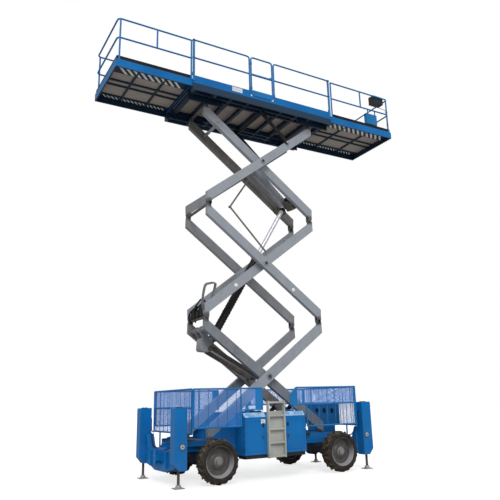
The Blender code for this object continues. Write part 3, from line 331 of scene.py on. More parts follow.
arm_grey = streaked("arm_grey", (0.235, 0.240, 0.262), (0.300, 0.307, 0.332), 0.42, grease=0.35)
greasy_steel = streaked("greasy_steel", (0.06, 0.052, 0.045), (0.15, 0.135, 0.115), 0.45, 0.3, 0.6)
brown_steel = streaked("brown_steel", (0.060, 0.047, 0.036), (0.130, 0.108, 0.088), 0.6, 0.0, 0.5)
pin_steel = streaked("pin_steel", (0.050, 0.046, 0.032), (0.105, 0.098, 0.070), 0.5, 0.0, 0.4)
bright_cap = streaked("bright_cap", (0.80, 0.80, 0.80), (0.92, 0.92, 0.92), 0.5)
carrier_grey = streaked("carrier_grey", (0.15, 0.145, 0.135), (0.24, 0.235, 0.225), 0.5)
galvanised = streaked("galvanised", (0.40, 0.40, 0.40), (0.55, 0.55, 0.54), 0.45, 0.6)
wheel_grey = streaked("wheel_grey", (0.075, 0.070, 0.064), (0.135, 0.128, 0.120), 0.42, 0.15, 0.35)
hub_grey = streaked("hub_grey", (0.20, 0.195, 0.19), (0.29, 0.285, 0.28), 0.45, 0.2, 0.35)
chrome_finish = Finish("hard_chrome")
chrome = chrome_finish.wear(base_color=(0.82, 0.83, 0.88), metallic=0.45,
                            roughness=chrome_finish.noise(30, 3) * 0.08 + 0.22)

# %% [markdown]
# ## Rubber, plastic, boards and glass
#
# Hose rubber and moulded plastic are near black with a little dust in their grain.  The deck boards
# under the platform are varnished plywood, whose grain is a noise pulled out along X.

# %% Rubber, plastic, board and lamp finishes
def rubber(name, colour, dusty, roughness, scale=26):
    """Rubber or plastic with dust in patches and a fine grain."""
    finish = Finish(name)
    dust = finish.noise(scale, 6, roughness=0.7).fade(0.45, 0.8)
    grain = finish.noise(scale * 9, 3)
    return finish.wear(base_color=finish.mix(dust, colour, dusty), roughness=dust * 0.12 + roughness,
                       normal=finish.bump(grain, 0.0006))


hose_rubber = rubber("hose_rubber", (0.012, 0.012, 0.012), (0.03, 0.03, 0.03), 0.55)
old_hose = rubber("old_hose", (0.13, 0.13, 0.135), (0.24, 0.24, 0.25), 0.6)
plastic = rubber("black_plastic", (0.014, 0.014, 0.015), (0.035, 0.034, 0.032), 0.42, 60)

board_finish = Finish("deck_board")
board_place = board_finish.place()
grain = board_finish.noise(1.0, 6, board_place * (2.0, 24.0, 24.0), 0.65)
board = board_finish.wear(
    base_color=board_finish.mix(grain.fade(0.3, 0.7), (0.285, 0.240, 0.210), (0.40, 0.345, 0.30)),
    roughness=grain * 0.2 + 0.45, normal=board_finish.bump(grain, 0.0008))

plate_finish = Finish("bare_plate")
plate_tone = plate_finish.mix(plate_finish.noise(14, 4), (0.62, 0.64, 0.66), (0.78, 0.79, 0.80))
plate_white = plate_finish.wear(base_color=plate_tone, roughness=0.4)
# painted light: the slots are pale plates coloured like the sky seen through them, not holes
slot_finish = Finish("pale_slots")
patches = slot_finish.noise(3.1, 3).fade(0.35, 0.65)
slot_tone = slot_finish.mix(patches, (0.75, 0.72, 0.52), (0.70, 0.76, 0.82))
slot_painted_light = slot_finish.wear(base_color=slot_tone, roughness=0.6)
lens_finish = Finish("lamp_lens")
haze = lens_finish.noise(40) * 0.1 + 0.08
lens = lens_finish.wear(base_color=(0.42, 0.45, 0.48), roughness=haze, coat_weight=1.0)
print(len(bpy.data.materials), "materials")

# %% [markdown]
# ## Shape helpers
#
# Most details are one of a few shapes: a block with its edges taken off, a tube along a bent path,
# a turned form, or a bolt head.  Each helper adds one to a bmesh, so that many small parts of the
# same finish can share a single object.

# %% Blocks, tubes, turned forms and bolts
def block(shape, low, high, edge=0.004):
    """A box between two corners with small bevelled edges."""
    low, high = Vector(low), Vector(high)
    low, high = Vector(map(min, low, high)), Vector(map(max, low, high))
    made = bmesh.ops.create_cube(shape, size=1)["verts"]
    for v in made:
        v.co = low + Vector((v.co[i] + 0.5) * (high[i] - low[i]) for i in range(3))
    if edge:
        edge = min(edge, 0.3 * min(high - low))
        edges = list({e for v in made for e in v.link_edges})
        bmesh.ops.bevel(shape, geom=edges, offset=edge, segments=1, affect="EDGES")


def slab(shape, xs, ys, zs, edge=0.004):
    """A block from its ranges of x, y and z, with x counted from the chassis centre."""
    block(shape, at(xs[0], ys[0], zs[0]), at(xs[1], ys[1], zs[1]), edge)


def about(middle, half):
    """The range that reaches half to either side of a middle."""
    return middle - half, middle + half


def turned_block(shape, centre, size, turn, edge=0.003):
    """A block about its centre, tilted by a matrix."""
    start = set(shape.verts)
    block(shape, [-s / 2 for s in size], [s / 2 for s in size], edge)
    fresh = [v for v in shape.verts if v not in start]
    bmesh.ops.transform(shape, matrix=Matrix.Translation(centre) @ turn.to_4x4(), verts=fresh)


def circle(shape, centre, side, other, radius, sides):
    """New vertices round a centre, in the plane of two directions."""
    turns = [2 * pi * k / sides for k in range(sides)]
    return [shape.verts.new(centre + radius * (side * cos(t) + other * sin(t))) for t in turns]


def spots(count, radius, shift=0.0):
    """Places on a circle for bolts and holes; a shift of 0.5 is half the gap between two."""
    turns = [2 * pi * (k + shift) / count for k in range(count)]
    return [(radius * cos(t), radius * sin(t)) for t in turns]


def tube(shape, path, radius, sides=12, closed=False):
    """A round bar that follows the points of a path."""
    points = [Vector(p) for p in path]
    count = len(points)
    rings = []
    side = None
    for i, point in enumerate(points):
        before = points[i - 1] if i or closed else point
        after = points[(i + 1) % count] if i < count - 1 or closed else point
        way = (after - before).normalized()
        if side is None:
            side = way.orthogonal().normalized()
        side = (side - way * side.dot(way)).normalized()
        other = way.cross(side)
        rings.append(circle(shape, point, side, other, radius, sides))
    for i in range(count if closed else count - 1):
        here, there = rings[i], rings[(i + 1) % count]
        for k in range(sides):
            m = (k + 1) % sides
            shape.faces.new((here[k], here[m], there[m], there[k]))
    if not closed:
        shape.faces.new(rings[0][::-1])
        shape.faces.new(rings[-1])


def bend(corners, radius, steps=4, closed=False):
    """The corners of a path rounded off with short curves."""
    points = [Vector(c) for c in corners]
    count = len(points)
    path = []
    for i, corner in enumerate(points):
        if not closed and i in (0, count - 1):
            path.append(corner)
            continue
        before, after = points[i - 1], points[(i + 1) % count]
        back, on = before - corner, after - corner
        reach = min(radius, 0.45 * back.length, 0.45 * on.length)
        start, end = corner + back.normalized() * reach, corner + on.normalized() * reach
        for k in range(steps + 1):
            t = k / steps
            path.append(start * (1 - t) ** 2 + corner * 2 * t * (1 - t) + end * t ** 2)
    return path


def smooth_path(knots, steps=8):
    """A curve through every knot, for hoses and cables."""
    knots = [Vector(k) for k in knots]
    padded = [knots[0] * 2 - knots[1]] + knots + [knots[-1] * 2 - knots[-2]]
    path = []
    for a, b, c, d in zip(padded, padded[1:], padded[2:], padded[3:]):
        for k in range(steps):
            t = k / steps
            path.append(0.5 * ((2 * b) + (c - a) * t + (2 * a - 5 * b + 4 * c - d) * t ** 2
                               + (3 * b - a - 3 * c + d) * t ** 3))
    return path + [knots[-1]]


def turned(shape, profile, centre, axis, sides=32):
    """A (radius, distance along the axis) profile turned round it; radius 0 closes an end."""
    axis = Vector(axis).normalized()
    side = axis.orthogonal().normalized()
    other = axis.cross(side)
    rows = []
    for radius, along in profile:
        middle = Vector(centre) + axis * along
        row = circle(shape, middle, side, other, radius, sides) if radius else [shape.verts.new(middle)]
        rows.append(row)
    for here, there in zip(rows, rows[1:]):
        for k in range(sides):
            m = (k + 1) % sides
            face = [here[k % len(here)], here[m % len(here)], there[m % len(there)], there[k % len(there)]]
            face = list(dict.fromkeys(face))
            if len(face) > 2:
                shape.faces.new(face)


def bolt(shape, place, axis, size=0.012):
    """A hexagon head on a washer; size is the head's radius."""
    washer = ((0, 0), (1.35, 0), (1.35, 0.25), (0, 0.25))
    head = ((0, 0.2), (1, 0.2), (0.97, 0.9), (0.8, 1), (0, 1))
    for profile, sides in ((washer, 12), (head, 6)):
        turned(shape, [(size * r, size * h) for r, h in profile], place, axis, sides)


def outline_plate(shape, outline, place):
    """A flat outline pushed through a thickness; place turns (a, b, 0 or 1) into a point."""
    low = [shape.verts.new(place(a, b, 0)) for a, b in outline]
    high = [shape.verts.new(place(a, b, 1)) for a, b in outline]
    shape.faces.new(low[::-1])
    shape.faces.new(high)
    for i in range(len(outline)):
        j = (i + 1) % len(outline)
        shape.faces.new((low[i], low[j], high[j], high[i]))


def piece(name, shape, material, body, replaces=(), smooth=35):
    """Turn a bmesh into a named object that moves with a body."""
    bmesh.ops.recalc_face_normals(shape, faces=shape.faces)
    mesh = bpy.data.meshes.new(name)
    shape.to_mesh(mesh)
    shape.free()
    mesh.shade_smooth()
    mesh.set_sharp_from_angle(angle=radians(smooth))
    mesh.materials.append(material)
    made = bpy.data.objects.new(name, mesh)
    bpy.context.scene.collection.objects.link(made)
    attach(made, body)
    if replaces:
        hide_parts(*replaces)
    print(f"{name}: {len(mesh.polygons)} faces on {body}")
    return made


# %% [markdown]
# ## Paint the solids
#
# Nodes whose shape is already right only need their material changed.  A narrow bevel on the
# boxy ones catches the light along their edges, as bent and welded sheet does.

# %% Materials of the carried-over nodes
def paint(material, *names, edge=0.0):
    """Give nodes a material and, where edge isn't 0, softened edges of that width."""
    for name in names:
        node = nodes[name]
        for i in range(max(1, len(node.material_slots))):
            if i < len(node.material_slots):
                node.material_slots[i].material = material
            else:
                node.data.materials.append(material)
        if edge:
            bevel = node.modifiers.new("edges", "BEVEL")
            bevel.width, bevel.segments, bevel.limit_method = edge, 2, "ANGLE"
            bevel.angle_limit = radians(40)


corners = [f"{end}_{side}" for end in ("rear", "front") for side in SIDES]
paint(frame_blue, "chassis_frame")
paint(dusty_navy, "rear_axle", "front_axle")
paint(dusty_blue, "side_tray_near", "side_tray_far", edge=0.004)
paint(dusty_blue, "rear_beam", "front_beam", *(f"outrigger_{c}" for c in corners),
      *(f"door_{c}" for c in corners), edge=0.006)
paint(galvanised, *(f"leg_{c}" for c in corners), edge=0.003)
paint(greasy_steel, "knuckle_near", "knuckle_far", "engine_block")
paint(cream, "ladder")
paint(rail_blue, *(f"guard_{side}_{end}" for side in SIDES for end in ("rear", "front")), "document_box")
paint(blue, "guard_rear_end", "guard_front_end")
paint(black_paint, "centring_link_low", "centring_link_high", "lift_cylinder_barrel")
paint(chrome, "lift_cylinder_rod")
paint(navy, "platform_frame")
paint(deck_blue, "main_deck")
paint(wing_blue, "left_deck", "right_deck")
paint(blue, "rail_near_rear", "rail_near_front", "rail_far", "gate", "left_rails", "right_rails")
paint(plastic, "control_box")
paint(hose_rubber, *(f"tyre_{c}" for c in corners))
paint(wheel_grey, *(f"rim_{c}" for c in corners))

# %% [markdown]
# ## Guard rails of bent tube
#
# A real rail section is a round tube bent into a hoop, with a mid rail and posts welded in.  The
# frame's six-sided rails give the places; a hoop of the same tube with bent corners stands for
# each of them.  Black plastic clamps sit where the hoops are pinned to the end posts.

# %% Sizes of the platform
TUBE, END_POST_R = 0.0192, 0.0275
DECK_HALF_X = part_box("main_deck")[1].x - MIDDLE
DECK_HALF_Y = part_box("main_deck")[1].y
RAIL_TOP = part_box("rail_far")[1].z - TUBE
RAIL_MID = DECK + 0.56 * (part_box("rail_far")[1].z - DECK)
SIDE_TOP = DECK + SIDE_HEIGHT
RAIL_Y = DECK_HALF_Y - 0.0155
GATE = (-0.43, 0.21)
END_POST = DECK_HALF_X - TUBE
# way along X, reach beyond the main deck, and the first two posts' places past the main deck's end
WINGS = {"left": (-1, 1.735, (0.02, 0.835)), "right": (1, 2.09, (0.10, 1.085))}
WING_HALF_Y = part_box("left_deck")[1].y
WING_TOP = DECK + 0.082
SHEET_TOP = DECK + 0.072
SHEET_LOW = DECK + 0.05


def post(shape, x, y, low, high=RAIL_TOP, radius=TUBE, sides=12):
    """An upright tube."""
    tube(shape, [at(x, y, low), at(x, y, high)], radius, sides)


def hoop(shape, y, x0, x1, foot):
    """A rail section: up one post, along the top and down the other, with a mid rail between."""
    path = [at(x0, y, foot), at(x0, y, RAIL_TOP), at(x1, y, RAIL_TOP), at(x1, y, foot)]
    tube(shape, bend(path, 0.07), TUBE)
    tube(shape, [at(x0, y, RAIL_MID), at(x1, y, RAIL_MID)], TUBE)


def clamp(shape, x, y, z, half):
    """A clamp round a post, with two bolts on its outer side."""
    slab(shape, about(x, half), about(y, half), about(z, half * 0.8), 0.006)
    out = -1 if y < 0 else 1
    for shift in (-half / 2, half / 2):
        bolt(shape, at(x + shift, y + out * half, z), (0, out, 0), 0.007)


# %% Main rails, clamps and end posts
RAIL_FOOT = SIDE_TOP - 0.06
SOCKET = [(0, 0), (0.026, 0), (0.026, 0.05), (TUBE, 0.055)]
for name, y, x0, x1, between in (("rail_near_rear", -RAIL_Y, -END_POST, GATE[0] - TUBE, ()),
                                 ("rail_near_front", -RAIL_Y, GATE[1] + TUBE, END_POST, ()),
                                 ("rail_far", RAIL_Y, -END_POST, END_POST, (-0.95, 0, 0.95))):
    rail = bmesh.new()
    hoop(rail, y, x0, x1, RAIL_FOOT)
    for x in between:
        post(rail, x, y, RAIL_FOOT)
    for x in (x0, x1) + between:
        turned(rail, SOCKET, at(x, y, SIDE_TOP), (0, 0, 1), 16)
    piece(f"{name}_hoop", rail, rail_blue, "platform", (name,))
clamps, end_posts = bmesh.new(), bmesh.new()
for side in SIDES.values():
    for x in (-END_POST, END_POST):
        clamp(clamps, x, side * (RAIL_Y + 0.003), RAIL_TOP - 0.01, 0.028)
        clamp(clamps, x, side * (RAIL_Y + 0.001), RAIL_MID, 0.026)
        slab(clamps, about(x, 0.028), (side * (RAIL_Y - 0.024), side * RAIL_Y), (SIDE_TOP, SIDE_TOP + 0.09))
        post(end_posts, x, side * (RAIL_Y + 0.004), DECK + 0.02, radius=END_POST_R, sides=16)
piece("rail_clamps", clamps, plastic, "platform")
piece("end_posts", end_posts, rail_blue, "platform")

# %% [markdown]
# ## The gate
#
# The gate is a smaller hoop hung between two posts on sleeves, with a thicker mid rail where hands
# take hold, a toe board, and a spring latch on its free post.

# %% Gate
GATE_LOW, GATE_GAP = DECK + 0.06, 0.008
hinge_x, free_x = GATE[0] + GATE_GAP + TUBE, GATE[1] - GATE_GAP - TUBE
gate = bmesh.new()
ring = [at(hinge_x, -RAIL_Y, GATE_LOW), at(hinge_x, -RAIL_Y, RAIL_TOP),
        at(free_x, -RAIL_Y, RAIL_TOP), at(free_x, -RAIL_Y, GATE_LOW)]
tube(gate, bend(ring, 0.07, closed=True), TUBE, closed=True)
tube(gate, [at(hinge_x, -RAIL_Y, RAIL_MID), at(free_x, -RAIL_Y, RAIL_MID)], TUBE * 1.3)
slab(gate, (hinge_x, free_x), about(-RAIL_Y, 0.004), (GATE_LOW, GATE_LOW + 0.14), 0.002)
for z in (GATE_LOW + 0.16, RAIL_TOP - 0.20):
    sleeve = [(TUBE, 0), (0.024, 0.0), (0.024, 0.06), (TUBE, 0.06)]
    turned(gate, sleeve, at(hinge_x, -RAIL_Y, z), (0, 0, 1), 16)
    slab(gate, (GATE[0] - TUBE, hinge_x), about(-RAIL_Y, 0.006), about(z + 0.03, 0.015), 0.002)
piece("gate_hoop", gate, rail_blue, "gate", ("gate",))
latch = bmesh.new()
latch_z = RAIL_MID + 0.06
turned(latch, [(0, -0.045), (0.008, -0.045), (0.008, -0.02), (0.012, -0.02), (0.012, 0.03), (0, 0.03)],
       at(free_x - 0.01, -RAIL_Y + 0.026, latch_z), (1, 0, 0), 14)
slab(latch, (free_x - 0.03, free_x + 0.012), about(-RAIL_Y + 0.02, 0.008), about(latch_z, 0.015), 0.003)
piece("gate_latch", latch, galvanised, "gate")

# %% [markdown]
# ## Rails and toe boards of the roll-out decks
#
# Each roll-out deck carries a three-sided rail.  Its top and mid rails are single tubes that run
# out, turn round both corners and come back.  Black toe boards stand at its foot, held by bolts.

# %% Rails and toe boards of the roll-out decks
for label, (way, reach, marks) in WINGS.items():
    first, second = (way * (DECK_HALF_X + m) for m in marks)
    last = way * (DECK_HALF_X + reach) - way * TUBE
    corner = last - way * 0.05
    y = WING_HALF_Y - TUBE
    rail = bmesh.new()
    for z in (RAIL_TOP, RAIL_MID):
        loop = [at(first, -y, z), at(last, -y, z), at(last, y, z), at(first, y, z)]
        tube(rail, bend(loop, 0.09, 6), TUBE)
    for side in SIDES.values():
        for x, low in ((first, WING_TOP), (second, RAIL_MID), (corner, WING_TOP)):
            post(rail, x, side * y, low)
        for x in (first, corner):
            slab(rail, about(x, 0.035), (side * (y - 0.02), side * (y + 0.016)), (WING_TOP, WING_TOP + 0.01))
    piece(f"{label}_rail_tubes", rail, rail_blue, f"{label}_deck", (f"{label}_rails",))
    toe = bmesh.new()
    foot, lip = WING_TOP + 0.001, WING_TOP + 0.09
    inner, outer = y - 0.004, y + 0.004
    for side in SIDES.values():
        slab(toe, (first, last), (side * inner, side * outer), (foot, lip), 0.001)
        slab(toe, (first, last), (side * (inner - 0.012), side * outer), (lip - 0.004, lip), 0.001)
        for k in range(5):
            x = first + (last - first) * (0.06 + 0.22 * k)
            bolt(toe, at(x, side * outer, foot + 0.04), (0, side, 0), 0.007)
    slab(toe, about(last, 0.004), (-y, y), (foot, lip), 0.001)
    piece(f"{label}_toe_boards", toe, black_paint, f"{label}_deck")

# %% [markdown]
# ## Deck plates and what shows from below
#
# People stand on aluminium tread plate.  From the ground the photograph looks up at the other side
# of it: varnished boards between dark ribs, and a row of slanted slots along the edges of the
# roll-out decks.  The light seen through the slots is painted on small pale plates that stand for them.

# %% Tread plates on top
tread_finish = Finish("tread_plate")
tread_place = tread_finish.place()
bars = tread_finish.node("ShaderNodeTexBrick", {"offset": 0.5}, {
    "Vector": tread_place * (1.0, 1.0, 0.0), "Scale": 22.0, "Color1": (1, 1, 1, 1), "Color2": (1, 1, 1, 1),
    "Mortar": (0, 0, 0, 1), "Mortar Size": 0.17, "Brick Width": 1.1, "Row Height": 0.42}, "Color")
wear_and_highlight_patches = tread_finish.noise(2.6, 5, roughness=0.65).fade(0.35, 0.7)
tread = tread_finish.wear(
    base_color=tread_finish.mix(wear_and_highlight_patches, (0.30, 0.305, 0.31), (0.46, 0.465, 0.47)), metallic=0.75,
    roughness=wear_and_highlight_patches * 0.15 + 0.34, normal=tread_finish.bump(bars, 0.004))
PLATES, PLATE_THICK = 3, 0.004
plate_length = (2 * DECK_HALF_X - 0.02) / PLATES
main_tread = bmesh.new()
for k in range(PLATES):
    x = -DECK_HALF_X + 0.012 + k * plate_length
    slab(main_tread, (x, x + plate_length - 0.004), about(0, WING_HALF_Y - 0.05),
         (DECK + 0.0003, DECK + PLATE_THICK), 0.001)
piece("main_tread", main_tread, tread, "platform")
for label, (way, reach, marks) in WINGS.items():
    wing_tread = bmesh.new()
    inner_x, outer_x = way * (DECK_HALF_X - 0.14), way * (DECK_HALF_X + reach - 0.035)
    for k in range(2):
        ends = [inner_x + (outer_x - inner_x) * (k + part) / 2 for part in (0.002, 0.998)]
        slab(wing_tread, ends, about(0, WING_HALF_Y - 0.034),
             (SHEET_TOP + 0.0003, SHEET_TOP + PLATE_THICK), 0.001)
    piece(f"{label}_tread", wing_tread, tread, f"{label}_deck")

# %% Boards, ribs and slotted strips under the roll-out decks
LONG_RIBS, FAR_RIB = (-0.50, -0.08, 0.12), 0.60
CROSS_RIBS = (0.0, 0.36, 0.69)
NEAR_STRIP_END = -0.42
SLOT_ROWS = ((-WING_HALF_Y + 0.16, NEAR_STRIP_END - 0.02, DECK + 0.0072, 0.155),
             (0.65, WING_HALF_Y - 0.06, SHEET_LOW - 0.0065, 0.095))
for label, (way, reach, marks) in WINGS.items():
    clear, tip = way * (DECK_HALF_X + 0.01), way * (DECK_HALF_X + reach - 0.03)
    boards = bmesh.new()
    slab(boards, (clear, tip), (LONG_RIBS[0], FAR_RIB), (SHEET_LOW - 0.012, SHEET_LOW - 0.0003), 0.002)
    piece(f"{label}_boards", boards, board, f"{label}_deck")
    ribs = bmesh.new()
    for y in LONG_RIBS + (FAR_RIB,):
        slab(ribs, (clear, tip), about(y, 0.022), (DECK + 0.006, SHEET_LOW), 0.003)
    for part in CROSS_RIBS:
        x = way * (DECK_HALF_X - 0.15) + way * (0.02 + part * (reach + 0.15))
        if way * x > DECK_HALF_X:
            slab(ribs, about(x, 0.022), about(0, WING_HALF_Y - 0.03), (DECK + 0.004, SHEET_LOW))
    slab(ribs, (clear, tip), (-WING_HALF_Y + 0.031, NEAR_STRIP_END), (DECK + 0.0075, DECK + 0.012), 0.001)
    slab(ribs, (clear, tip), (FAR_RIB, WING_HALF_Y - 0.031), (SHEET_LOW - 0.006, SHEET_LOW - 0.0003), 0.001)
    piece(f"{label}_ribs", ribs, navy, f"{label}_deck")
    # pale plates for the slots: painted light seen through them
    strips = bmesh.new()
    for low_y, high_y, height, pitch in SLOT_ROWS:
        width, lean = pitch * 0.46, (high_y - low_y) * 0.9
        for k in range(int((abs(tip - clear) - 0.16) / pitch)):
            x = min(clear, tip) + 0.07 + k * pitch
            slanted = [(x, low_y), (x + width, low_y), (x + width + lean, high_y), (x + lean, high_y)]
            outline_plate(strips, slanted, lambda a, b, c: at(a, b, height - 0.0015 * c))
    piece(f"{label}_slots", strips, slot_painted_light, f"{label}_deck")

# %% Boards and bearers under the main deck
BEARERS, BEARER_HALF_Y = 9, 0.785
under = bmesh.new()
slab(under, about(0, DECK_HALF_X - 0.06), about(0, BEARER_HALF_Y), (DECK - 0.040, DECK - 0.0305), 0.002)
piece("main_boards", under, board, "platform")
# an upside-down T: (x, z) from the bearer's middle line and the deck
TEE = ((-0.032, -0.155), (0.032, -0.155), (0.032, -0.147), (0.006, -0.147), (0.006, -0.041), (-0.006, -0.041),
       (-0.006, -0.147), (-0.032, -0.147))
bearers = bmesh.new()
for k in range(BEARERS):
    x = (k - (BEARERS - 1) / 2) * (2 * DECK_HALF_X - 0.14) / (BEARERS - 1)
    outline_plate(bearers, TEE, lambda a, b, c: at(x + a, BEARER_HALF_Y * (2 * c - 1), DECK + b))
piece("main_bearers", bearers, navy, "platform")

# %% [markdown]
# ## What the operator uses
#
# The control box hangs inside the near top rail of the right deck.  It has a lever's rubber boot, a
# red stop button, a row of plain knobs and a bent bar that shields them; its cable runs down the
# rail.

# %% Control box details
box_low, box_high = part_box("control_box")
panel_z = box_high.z - 0.05       # the box's own top; the lever stands above it
controls = bmesh.new()
lever = Vector(((box_low.x + box_high.x) / 2 - 0.02, (box_low.y + box_high.y) / 2, panel_z - 0.001))
turned(controls, [(0.036, 0.0), (0.036, 0.006), (0.028, 0.012), (0.030, 0.018), (0.020, 0.026), (0.021, 0.03),
                  (0.012, 0.036), (0, 0.036)], lever, (0, 0, 1), 20)
for k in range(4):
    knob = Vector((box_low.x + 0.05 + 0.035 * k, box_high.y - 0.045, panel_z))
    turned(controls, [(0.011, -0.002), (0.011, 0.012), (0.008, 0.015), (0, 0.015)], knob, (0, 0, 1), 12)
for z in (panel_z - 0.16, panel_z - 0.06):
    block(controls, (box_low.x + 0.03, box_high.y - 0.002, z - 0.01),
          (box_high.x - 0.05, box_high.y + 0.012, z + 0.01), 0.002)
piece("control_box_trim", controls, plastic, "right_deck")
red_finish = Finish("stop_button")
red = red_finish.wear(base_color=(0.55, 0.012, 0.012), roughness=red_finish.noise(30) * 0.1 + 0.3)
stop = bmesh.new()
turned(stop, [(0.010, 0.0), (0.010, 0.012), (0.019, 0.014), (0.019, 0.022), (0.014, 0.027), (0, 0.028)],
       Vector((box_low.x + 0.05, box_low.y + 0.05, panel_z)), (0, 0, 1), 20)
piece("stop_button", stop, red, "right_deck")
shield = bmesh.new()
x0, x1, y = box_low.x + 0.015, box_high.x - 0.075, box_high.y - 0.015
z0, z1 = panel_z - 0.01, panel_z + 0.035
bar = [(x0, y, z0), (x0, y, z1), (x1, y, z1), (x1, y, z0)]
tube(shield, bend(bar, 0.02), 0.006, 10)
piece("control_shield", shield, blue, "right_deck")

# %% Control cable, document box lid and bare plate
cable = bmesh.new()
start = Vector((box_high.x - 0.06, box_low.y + 0.10, box_low.z + 0.002))
cable_x, cable_y = at(3.938, 0, 0).x, -WING_HALF_Y + 0.046
route = [start, start + Vector((0.01, 0, -0.06)), (cable_x - 0.02, cable_y + 0.01, start.z - 0.14),
         (cable_x, cable_y, start.z - 0.24), (cable_x, cable_y, DECK + 0.25),
         (cable_x, cable_y + 0.004, SHEET_TOP + 0.008)]
tube(cable, smooth_path(route, 6), 0.008, 8)
for z in (DECK + 0.30, RAIL_MID + 0.08):
    block(cable, (cable_x - 0.02, -WING_HALF_Y, z - 0.006),
          (cable_x + 0.02, cable_y + 0.010, z + 0.006), 0.002)
piece("control_cable", cable, hose_rubber, "right_deck")
lid = bmesh.new()
case_low, case_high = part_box("document_box")
case_top, catch_x = case_low.z + 0.30, (case_low.x + case_high.x) / 2
block(lid, (case_low.x - 0.006, case_low.y + 0.002, case_top - 0.03),
      (case_high.x + 0.006, case_high.y + 0.006, case_top + 0.008), 0.004)
block(lid, (catch_x - 0.02, case_high.y, case_top - 0.055),
      (catch_x + 0.02, case_high.y + 0.012, case_top - 0.015), 0.003)
piece("document_box_lid", lid, plastic, "right_deck")
toe_plate = bmesh.new()
slab(toe_plate, (-0.93, -0.66), (-DECK_HALF_Y - 0.0028, -DECK_HALF_Y - 0.0003),
     (SIDE_TOP - 0.135, SIDE_TOP - 0.02), 0.001)
piece("bare_plate_on_deck", toe_plate, plate_white, "platform")

# %% [markdown]
# ## The scissor arms
#
# Each arm is a box section of grey steel.  Grease darkens its ends and its middle tube, and the
# inner arms of the lowest and the highest level are stained brown.  The far arm of each pair is
# painted darker and browner as painted shade, and some near arms are painted a little darker.
# One shader per arm measures the distance from the arm's own pins, so the grease stays at the
# joints while the lift folds.

# %% Arm shader
# level, whether it rises towards +X, middle |y|; then rust stain, painted shade of the near arm and painted
# shade of the far one
ARMS = {"arm_inner_low": (0, False, 0.41, (0.6, 0.60, 0.28)),
        "arm_outer_low": (0, True, 0.56, (0.2, 0.95, 0.72)),
        "arm_inner_middle": (1, True, 0.41, (0.2, 1.0, 0.92)),
        "arm_outer_middle": (1, False, 0.56, (0.2, 0.98, 0.62)),
        "arm_inner_high": (2, False, 0.41, (0.7, 0.95, 0.24)),
        "arm_outer_high": (2, True, 0.56, (0.2, 1.0, 0.60))}
ARM_HALF_WIDTH, OUTER_ARM = 0.055, 0.5      # arms whose |y| is beyond 0.5 are the outer pair
ARM_GREY, BROWN_SHADE_AND_FILM = (0.302, 0.333, 0.380), (0.075, 0.050, 0.028)
PIN_X = sqrt(SPAN ** 2 - LEVEL ** 2) / 2


def arm_at(name, along, across, y):
    """A point of an arm: along and across its middle line."""
    level, rising = ARMS[name][:2]
    slope = SLOPE if rising else -SLOPE
    middle = BASE_PIN + (level + 0.5) * LEVEL
    return at(along * cos(slope) - across * sin(slope), y, middle + along * sin(slope) + across * cos(slope))


def arm_paint(name, stain, near_painted_shade, far_painted_shade):
    """Streaked grey with painted shade on the near and far arm, dark with grease near the end pins and on the
    middle cross tube.
    """
    level, rising = ARMS[name][:2]
    finish = Finish(f"{name}_paint")
    where = finish.place()
    across = abs(where.part(1))
    streaks = finish.noise(1.0, 5, where * (7.0, 7.0, 2.2), 0.62).fade(0.3, 0.7)
    # painted shade: the near arm's grey is scaled darker, and the far arm (y > 0) is mixed towards a dark
    # brown that is both painted shade and a grime film
    near_grey = tuple(near_painted_shade * c for c in ARM_GREY)
    far_grey = tuple(far_painted_shade * c + (1 - far_painted_shade) * f for c, f in zip(ARM_GREY, BROWN_SHADE_AND_FILM))
    colour = finish.mix(where.part(1).fade(0.05, 0.10), near_grey, far_grey)
    colour = finish.mix(streaks * 0.16, colour, (0.55, 0.56, 0.57))
    blotch = finish.noise(1.5, 6, where, 0.72).fade(0.50, 0.72)
    rust = blotch * finish.noise(19, 5, where, 0.7).fade(0.40, 0.6) * stain
    colour = finish.mix(rust, colour, (0.085, 0.052, 0.030))
    low = BASE_PIN + level * LEVEL
    hub = finish.from_axis(where, 0, low + LEVEL / 2)
    grease = hub.fade(0.09, 0.06) * (across < 0.33)
    for x in (-PIN_X, PIN_X):
        z = low + LEVEL if rising == (x > 0) else low
        near = (finish.from_axis(where, x, z) + blotch * 0.03).fade(0.135, 0.085)
        grease = grease + near * 0.8
    colour = finish.mix(grease, colour, (0.060, 0.055, 0.050))
    colour = finish.mix(hub.fade(0.045, 0.036) * (across > 0.6155), colour, (0.045, 0.040, 0.022))
    grit = finish.bump(finish.noise(160, 3), 0.0003)
    return finish.wear(base_color=colour, roughness=streaks * 0.12 + rust * 0.2 + 0.40, normal=grit)


for name, arm in ARMS.items():
    paint(arm_paint(name, *arm[3]), name, edge=0.006)

# %% [markdown]
# ## Pins and keepers
#
# Every pin ends in a collar with a cap and two bolts, which stop it from turning in its arm.  The
# middle pins of the outer arms have a wider cap with four small bolts.

